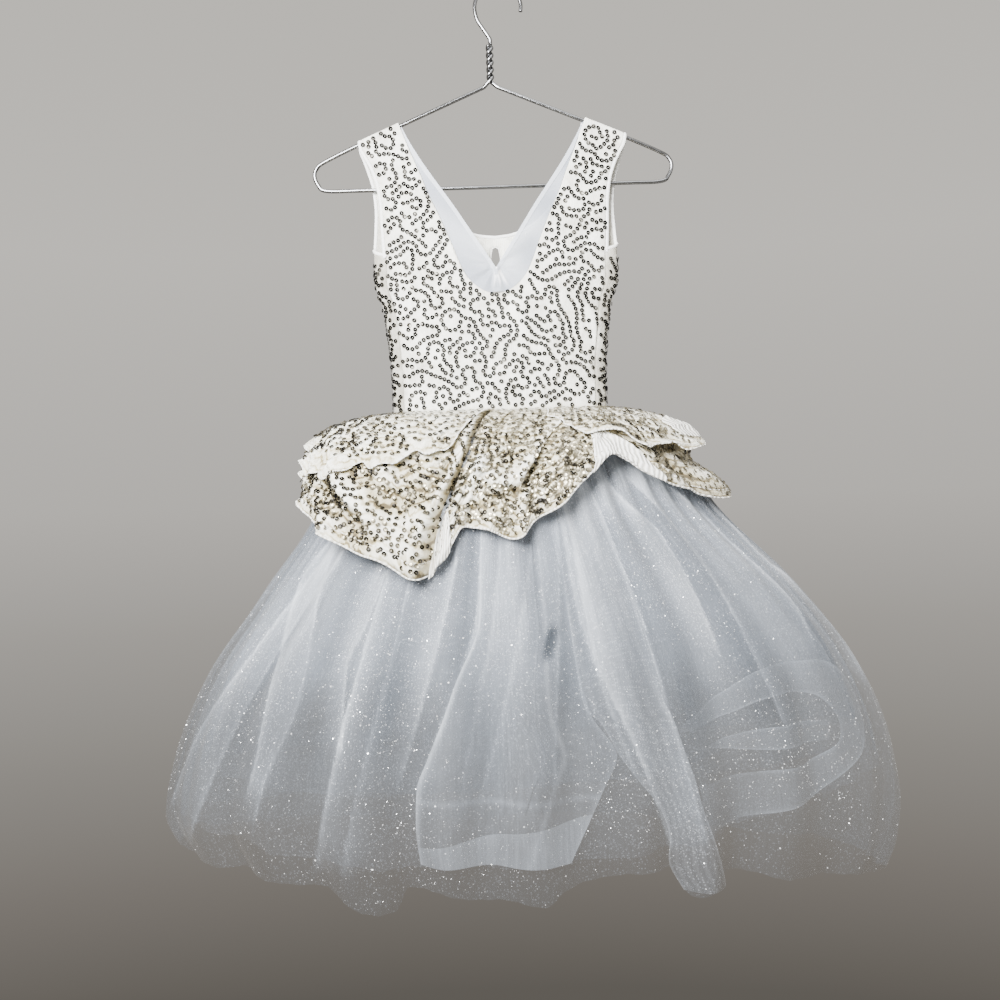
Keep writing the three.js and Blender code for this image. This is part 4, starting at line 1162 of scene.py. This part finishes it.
glitter_tulle = tulle_material("white glitter tulle", "#8E959F", 0.085, 0.55, 0.16)
plain_tulle = tulle_material("white plain tulle", "#949CA7", 0.06, 0.7, 0.0)


def tulle_sheet(name, grid, turn, z, material, ply, tone=0.4):
    """Single-layer net from a grid of points, with its attributes ply, the cover, and tone, painted shade from dark
    to light.
    """
    rows, columns = turn.shape
    places = np.stack([np.radians(turn) * 0.45, (z + 500) / 1000], -1).reshape(-1, 2)
    piece = make_piece(name, grid.reshape(-1, 3) / 1000, grid_faces(rows, columns), material, places)
    mark_points(piece, "ply", ply + 0 * z)
    mark_points(piece, "tone", tone + 0 * z)
    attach(piece, "root")
    return piece


def painted_fold_tone(turn, z):
    """Painted shade: light on crests and dark in troughs, from the height of the fine folds, softer towards the hem;
    and darker towards the hem.
    """
    angle = np.radians(turn)
    slow = 0.5 * np.sin(6.3 * angle + 0.8) + 0.5 * np.sin(11.7 * angle + 2.0 * np.sin(z / 160))
    folds = 0.032 * fine_folds(angle, z, 0) + 0.05 * slow
    return 0.36 + folds * ease(-1000, -760, z) - 0.24 * ease(-690, -890, z)


def gap(grid):
    """Mask of the one opening between folds, right of the middle, where the eye looks into the skirt; there the cloth
    is made thin and painted dark as shade.
    """
    x, z = grid[..., 0], grid[..., 2]
    return np.exp(-(((x - 33 - 0.25 * (z + 757)) / 6) ** 4) - ((z + 755) / 15) ** 4)


def plies(grid, turn, z):
    """Share of cloth: most at the waist, least at the hem, and more where the surface turns into a fold."""
    across = np.gradient(grid, axis=1)
    slant = np.abs(across[..., 1]) / (np.linalg.norm(across, axis=-1) + 1e-9)
    smooth = np.abs(np.sin(np.radians(turn))) * 0.6
    return (0.05 + 0.91 * ease(-985, -500, z) ** 1.15) * (1 + 1.3 * np.clip(slant - smooth, -0.3, 0.7))


# Overlapping pleats: where the gathered layers fold over themselves, the fold's edge shows as a
# crisp pale line with a veil beside it that thins out. Heights and places run from waist to hem.
FRONT_PLEATS = [
    # x and z of points down the edge, width of the veil (negative to the left), strength
    ([(-160, -600), (-197, -657), (-272, -752), (-356, -866), (-392, -950)], 34, 0.5),
    ([(-140, -590), (-175, -654), (-243, -750), (-295, -836), (-338, -925), (-362, -985)], -46, 0.45),
    ([(-150, -600), (-228, -687), (-258, -803), (-276, -886), (-288, -925)], 60, 0.5),
    ([(-140, -600), (-192, -665), (-223, -811), (-260, -895), (-276, -952)], -30, 0.4),
    ([(-95, -590), (-125, -670), (-147, -728), (-171, -780), (-177, -874)], -38, 0.45),
    ([(-100, -600), (-132, -694), (-165, -800), (-190, -892), (-214, -1000)], 62, 0.55),
    ([(-80, -600), (-101, -681), (-129, -789), (-158, -891), (-182, -1000)], 30, 0.35),
    ([(-20, -560), (-24, -632), (-29, -698), (-32, -724), (-71, -832), (-103, -914)], 70, 0.5),
    ([(-2, -560), (-5, -647), (-15, -730), (-42, -851), (-60, -942)], 26, 0.35),
    ([(24, -560), (28, -637), (14, -730), (-10, -832), (-33, -912)], 30, 0.4),
    ([(50, -560), (58, -660), (55, -754), (49, -834), (44, -919)], -40, 0.55),
    ([(52, -560), (70, -638), (86, -754), (134, -878), (168, -985)], 60, 0.6),
    ([(80, -560), (104, -618), (141, -725), (170, -839), (203, -975)], -44, 0.55),
    ([(95, -560), (132, -608), (167, -641), (201, -705), (231, -788)], -48, 0.55),
    ([(110, -560), (151, -598), (212, -676), (261, -774), (299, -870)], 44, 0.45),
    ([(120, -550), (206, -610), (256, -660), (329, -740), (346, -793)], -40, 0.5),
    ([(130, -550), (214, -588), (299, -683), (370, -733), (412, -829)], -24, 0.6),
    ([(45, -560), (60, -628), (72, -712), (101, -815), (132, -908)], 40, 0.45),
    ([(-40, -580), (-53, -677), (-71, -749), (-95, -830), (-121, -911)], -40, 0.45),
]


def pleat_cover(grid, pleats):
    """Cover added beside each pleat edge: x is measured square to the edge's line, strongest at the edge."""
    x, z = grid[..., 0] - CENTRE_X, grid[..., 2]
    cover = np.zeros_like(x)
    for edge, width, strength in pleats:
        line = {"z": [row[1] for row in edge][::-1], "x": [row[0] for row in edge][::-1]}
        at = curve(line, "z", "x", z)
        steep = 1 / np.hypot(1, (curve(line, "z", "x", z + 2) - curve(line, "z", "x", z - 2)) / 4)
        share = (x - at) * steep / width
        lit = np.where(share > 0, np.clip(1 - share, 0, 1) ** 1.6 * 0.75 + 0.5 * np.exp(-((share / 0.07) ** 2)),
                       0.5 * np.exp(-((share * width / 1.6) ** 2)))
        top, bottom = edge[0][1], edge[-1][1]
        cover += strength * lit * ease(top, top - 40, z) * ease(bottom, bottom + 30, z)
    return cover


chance = np.random.default_rng(41)
BACK_PLEATS = []
for start in np.linspace(-0.82, 0.82, 17):
    lean, swing = start + chance.normal(0, 0.03), chance.normal(0, 0.05)
    edge = [
        ((lean + swing * t) * float(curve(SKIRT, "z", "left" if lean < 0 else "right", np.array(z))), z)
        for t, z in zip(np.linspace(0, 1, 5), np.linspace(-545, -chance.uniform(820, 960), 5))
    ]
    width = chance.choice([-1, 1]) * chance.uniform(28, 60)
    BACK_PLEATS.append((edge, float(width), float(chance.uniform(0.35, 0.6))))

for layer, columns, rows in (("top", 500, 110), ("middle", 300, 46), ("under", 240, 40)):
    for facing in ("front", "back"):
        count = columns if facing == "front" else columns * 2 // 3
        turn = np.repeat(np.linspace(-89.85, 89.85, count)[None, :], rows, 0)
        fall = np.linspace(0, 1, rows)[:, None] ** 1.15
        z = SKIRT_TOP + (hem_at(facing, layer, turn) - SKIRT_TOP) * fall
        grid = skirt_point(facing, layer, turn, z)
        material = plain_tulle if layer == "under" else glitter_tulle
        ply = plies(grid, turn, z)
        # Painted shade: light on fold crests, dark in troughs and towards the hem.
        tone = painted_fold_tone(turn, z)
        if layer == "top":
            cover = pleat_cover(grid, FRONT_PLEATS if facing == "front" else BACK_PLEATS)
            ply = 0.75 * ply + cover
            tone = tone - 0.1 + 0.55 * cover
            # Painted light: paler by the waist and under the flounce's arch, against its shadow; painted shade:
            # darker at the sides. Thinner at the right hem.
            painted_light_under_arch = np.exp(-(((grid[..., 0] - 128) / 62) ** 2) - ((z + 566) / 30) ** 2)
            tone = tone + 0.12 * ease(-640, -570, z) + 0.3 * painted_light_under_arch * (facing == "front")
            tone -= 0.14 * np.sin(np.radians(turn)) ** 2 * ease(-740, -620, z)
            if facing == "front":
                ply *= 1 - 0.45 * ease(220, 330, grid[..., 0]) * ease(-840, -940, z)
        if layer == "under":
            ply += 2 * ease(-830, -700, z)
        elif facing == "front":
            ply *= 1 - 0.9 * gap(grid)
        if facing == "front":
            # Painted shade: the opening into the skirt is painted dark.
            tone -= 0.6 * gap(grid)
        piece = tulle_sheet(f"skirt_{layer}_{facing}_tulle", grid, turn, z, material, ply, tone)
        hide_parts(f"skirt_{layer}_layer_{facing}")

# Drape: a plain tulle panel over the middle of the front, with a deep turned-up hem.
DRAPE_EDGES = {
    "z": [-979, -941, -903, -873, -831, -798, -730, -671, -500],
    "left": [-96, -100, -98, -86, -68, -56, -29, -26, -18],
    "right": [58, 78, 96, 108, 84, 76, 66, 60, 50],
}


def drape_grid(top, rows, columns, out):
    """Grid between the drape's edges from a top height, which may differ across, down to the hem, moved out."""
    share, bottom = np.linspace(0, 1, columns)[None, :], DRAPE_EDGES["z"][0]
    z = top + (bottom - top) * np.linspace(0, 1, rows)[:, None]
    z = np.broadcast_to(z, (rows, columns))
    half = np.where(share < 0.6, curve(SKIRT, "z", "left", z), curve(SKIRT, "z", "right", z))
    left = np.degrees(np.arcsin(curve(DRAPE_EDGES, "z", "left", z) / half))
    right = np.degrees(np.arcsin(curve(DRAPE_EDGES, "z", "right", z) / half))
    turn = left * (1 - share) + right * share
    grid = skirt_point("front", "drape", turn, z)
    grid[..., 1] -= out + 3.0 * ease(-600, -760, z) * np.sin(np.pi * share)
    return grid, turn, z


grid, turn, z = drape_grid(SKIRT_TOP, 90, 120, 0)
share = np.linspace(0, 1, 120)[None, :]
edges = (np.exp(-((share / 0.03) ** 2)) + 0.35 * np.exp(-(((1 - share) / 0.03) ** 2))
         + 0.5 * np.exp(-(((share - 0.72) / 0.02) ** 2)))
stitch_line = np.exp(-(((z + 916) / 2) ** 2))
ply = 0.14 + 0.22 * ease(-900, -500, z) + 0.4 * edges * ease(-600, -700, z) + 0.3 * stitch_line
# Painted shade in the opening; the edges are whiter where the cloth is doubled.
tone = 0.3 + 0.3 * edges - 0.6 * gap(grid) + 0.08 * np.sin(17 * share + 2 * np.sin(z / 70))
drape = tulle_sheet("skirt_drape_tulle", grid, turn, z, plain_tulle, ply * (1 - 0.95 * gap(grid)), tone)
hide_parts("skirt_front_drape")
grid, turn, z = drape_grid(-962 + 30 * np.linspace(0, 1, 90)[None, :], 16, 90, 0.8)
drape_hem = tulle_sheet("skirt_drape_hem", grid, turn, z, plain_tulle, 0.35)

# Hem bands: the deep turned-up hems of the inner layers, seen through the top layer where they
# bow out at the right; the upper and lower one run into each other like a ribbon.
HEM_BANDS = [
    # x and z of points along the middle of the band, and half its width there
    [(171, -852, 3), (214, -833, 10), (261, -811, 15), (303, -806, 16), (340, -812, 19), (364, -838, 18),
     (370, -866, 15), (360, -893, 15), (320, -914, 18), (270, -921, 22), (195, -932, 24)],
    [(203, -871, 1), (262, -867, 11), (343, -866, 11)],
]
for number, band in enumerate(HEM_BANDS):
    middle = rounded_path(band, 110)
    along = np.gradient(middle[:, :2], axis=0)
    along /= np.linalg.norm(along, axis=1, keepdims=True)
    square = np.stack([-along[:, 1], along[:, 0]], 1)
    share = np.linspace(-1, 1, 12)[None, :]
    place = middle[:, None, :2] + square[:, None] * (middle[:, 2:] * share)[..., None]
    x, z = place[..., 0], place[..., 1]
    half = np.where(x < 0, curve(SKIRT, "z", "left", z), curve(SKIRT, "z", "right", z))
    turn = np.degrees(np.arcsin(np.clip(x / (half - 8), -0.99, 0.99)))
    grid = skirt_point("front", "top", turn, z)
    grid[..., 1] += 5 + 2 * number
    run = np.linspace(0, 1, 110)[:, None]
    ply = (0.2 + 0.4 * np.abs(share) ** 10) * ease(0, 0.15, run) * ease(1, 0.75, run)
    band_piece = tulle_sheet(f"skirt_hem_band_{number + 1}", grid, turn, z, plain_tulle, ply)

# Front pleat: the top layer folds over itself right of the drape and hangs as a narrow tail.
PLEAT = {
    "z": [-1013, -979, -961, -928, -900, -873, -838, -827, -790, -700, -560],
    "left": [172, 157, 159, 150, 130, 111, 92, 79, 72, 62, 50],
    "right": [217, 207, 202, 192, 186, 178, 168, 163, 152, 130, 84],
}
share, z = np.meshgrid(np.linspace(0, 1, 70), np.linspace(-560, -1013, 120), indexing="xy")
x = curve(PLEAT, "z", "left", z) * (1 - share) + curve(PLEAT, "z", "right", z) * share
turn = np.degrees(np.arcsin(x / curve(SKIRT, "z", "right", z)))
grid = skirt_point("front", "drape", turn, z)
grid[..., 1] -= 6 * np.sin(np.pi * share) * ease(-700, -850, z) + 1.5
edges = np.exp(-((share / 0.05) ** 2)) + np.exp(-(((1 - share) / 0.05) ** 2))
ply = (0.2 + 0.25 * edges) * ease(-560, -800, z) * (1 - 0.35 * ease(-900, -1013, z))
tone = 0.3 + 0.15 * edges + 0.12 * np.sin(38 * share + 3 * np.sin(z / 60))
tail = tulle_sheet("skirt_front_tail", grid, turn, z, glitter_tulle, ply, tone)

# Glitter: flakes of film glued on the tulle, white with a metal shine and a faint painted glow of sparkle. Real
# ones are about 0.4 mm across; these are 0.6 to 1.2 mm, and some 1.2 to 2.4 mm, so that they show.
flake, tree, out = new_material("white glitter flake")
# Emission 0.3: a painted glow of sparkle, as the flakes are no lamp.
shine = add_node(tree, "ShaderNodeBsdfPrincipled", Base_Color=linear("#FFFFFF"), Metallic=0.5, Roughness=0.25,
                 Emission_Color=linear("#F4F8FF"), Emission_Strength=0.3)
tree.links.new(shine.outputs[0], out.inputs[0])


def scatter_flakes(name, surface, turn, z, seed, size):
    """Four-sided flakes on a surface at places turn and z, tilted at random."""
    chance = np.random.default_rng(seed)
    centres = surface(turn, z) / 1000
    normal = normals_of(surface, turn, z) + chance.normal(0, 0.5, (len(turn), 3))
    normal /= np.linalg.norm(normal, axis=1, keepdims=True)
    first = np.cross(normal, chance.normal(0, 1, (len(turn), 3)))
    first /= np.linalg.norm(first, axis=1, keepdims=True)
    second = np.cross(normal, first)
    width = size * chance.uniform(0.6, 1.2, (len(turn), 1))
    tips = ((1, 0), (0, 1), (-1, 0), (0, -1))
    corners = np.stack([centres + width * (a * first + b * second) for a, b in tips], 1)
    piece = make_piece(name, corners.reshape(-1, 3), np.arange(len(turn) * 4).reshape(-1, 4), flake, smooth=False)
    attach(piece, "root")


GLITTER = [
    # facing, layer, number, half its width in metres, seed
    ("front", "top", 16000, 0.0005, 31),
    ("front", "top", 1500, 0.001, 34),
    ("front", "middle", 3000, 0.0005, 32),
    ("back", "top", 9000, 0.0005, 33),
    ("back", "top", 800, 0.001, 35),
]
for facing, layer, count, size, seed in GLITTER:
    chance = np.random.default_rng(seed)
    turn = np.degrees(np.arcsin(chance.uniform(-0.999, 0.999, count)))
    fall = chance.uniform(0.08, 0.995, count) ** 0.9
    # Thicker in patches, thin towards the hem.
    patch = np.sin(0.12 * turn + 3 * fall) * np.sin(0.07 * turn - 11 * fall)
    kept = chance.uniform(0, 1, count) < (0.5 + 0.5 * patch) * ease(1.15, 0.75, fall)
    turn, fall = turn[kept], fall[kept]
    z = SKIRT_TOP + (hem_at(facing, layer, turn) - SKIRT_TOP) * fall
    scatter_flakes(f"glitter_{layer}_{facing}_{seed}", lambda a, b: skirt_point(facing, layer, a, b), turn, z, seed,
                   size)
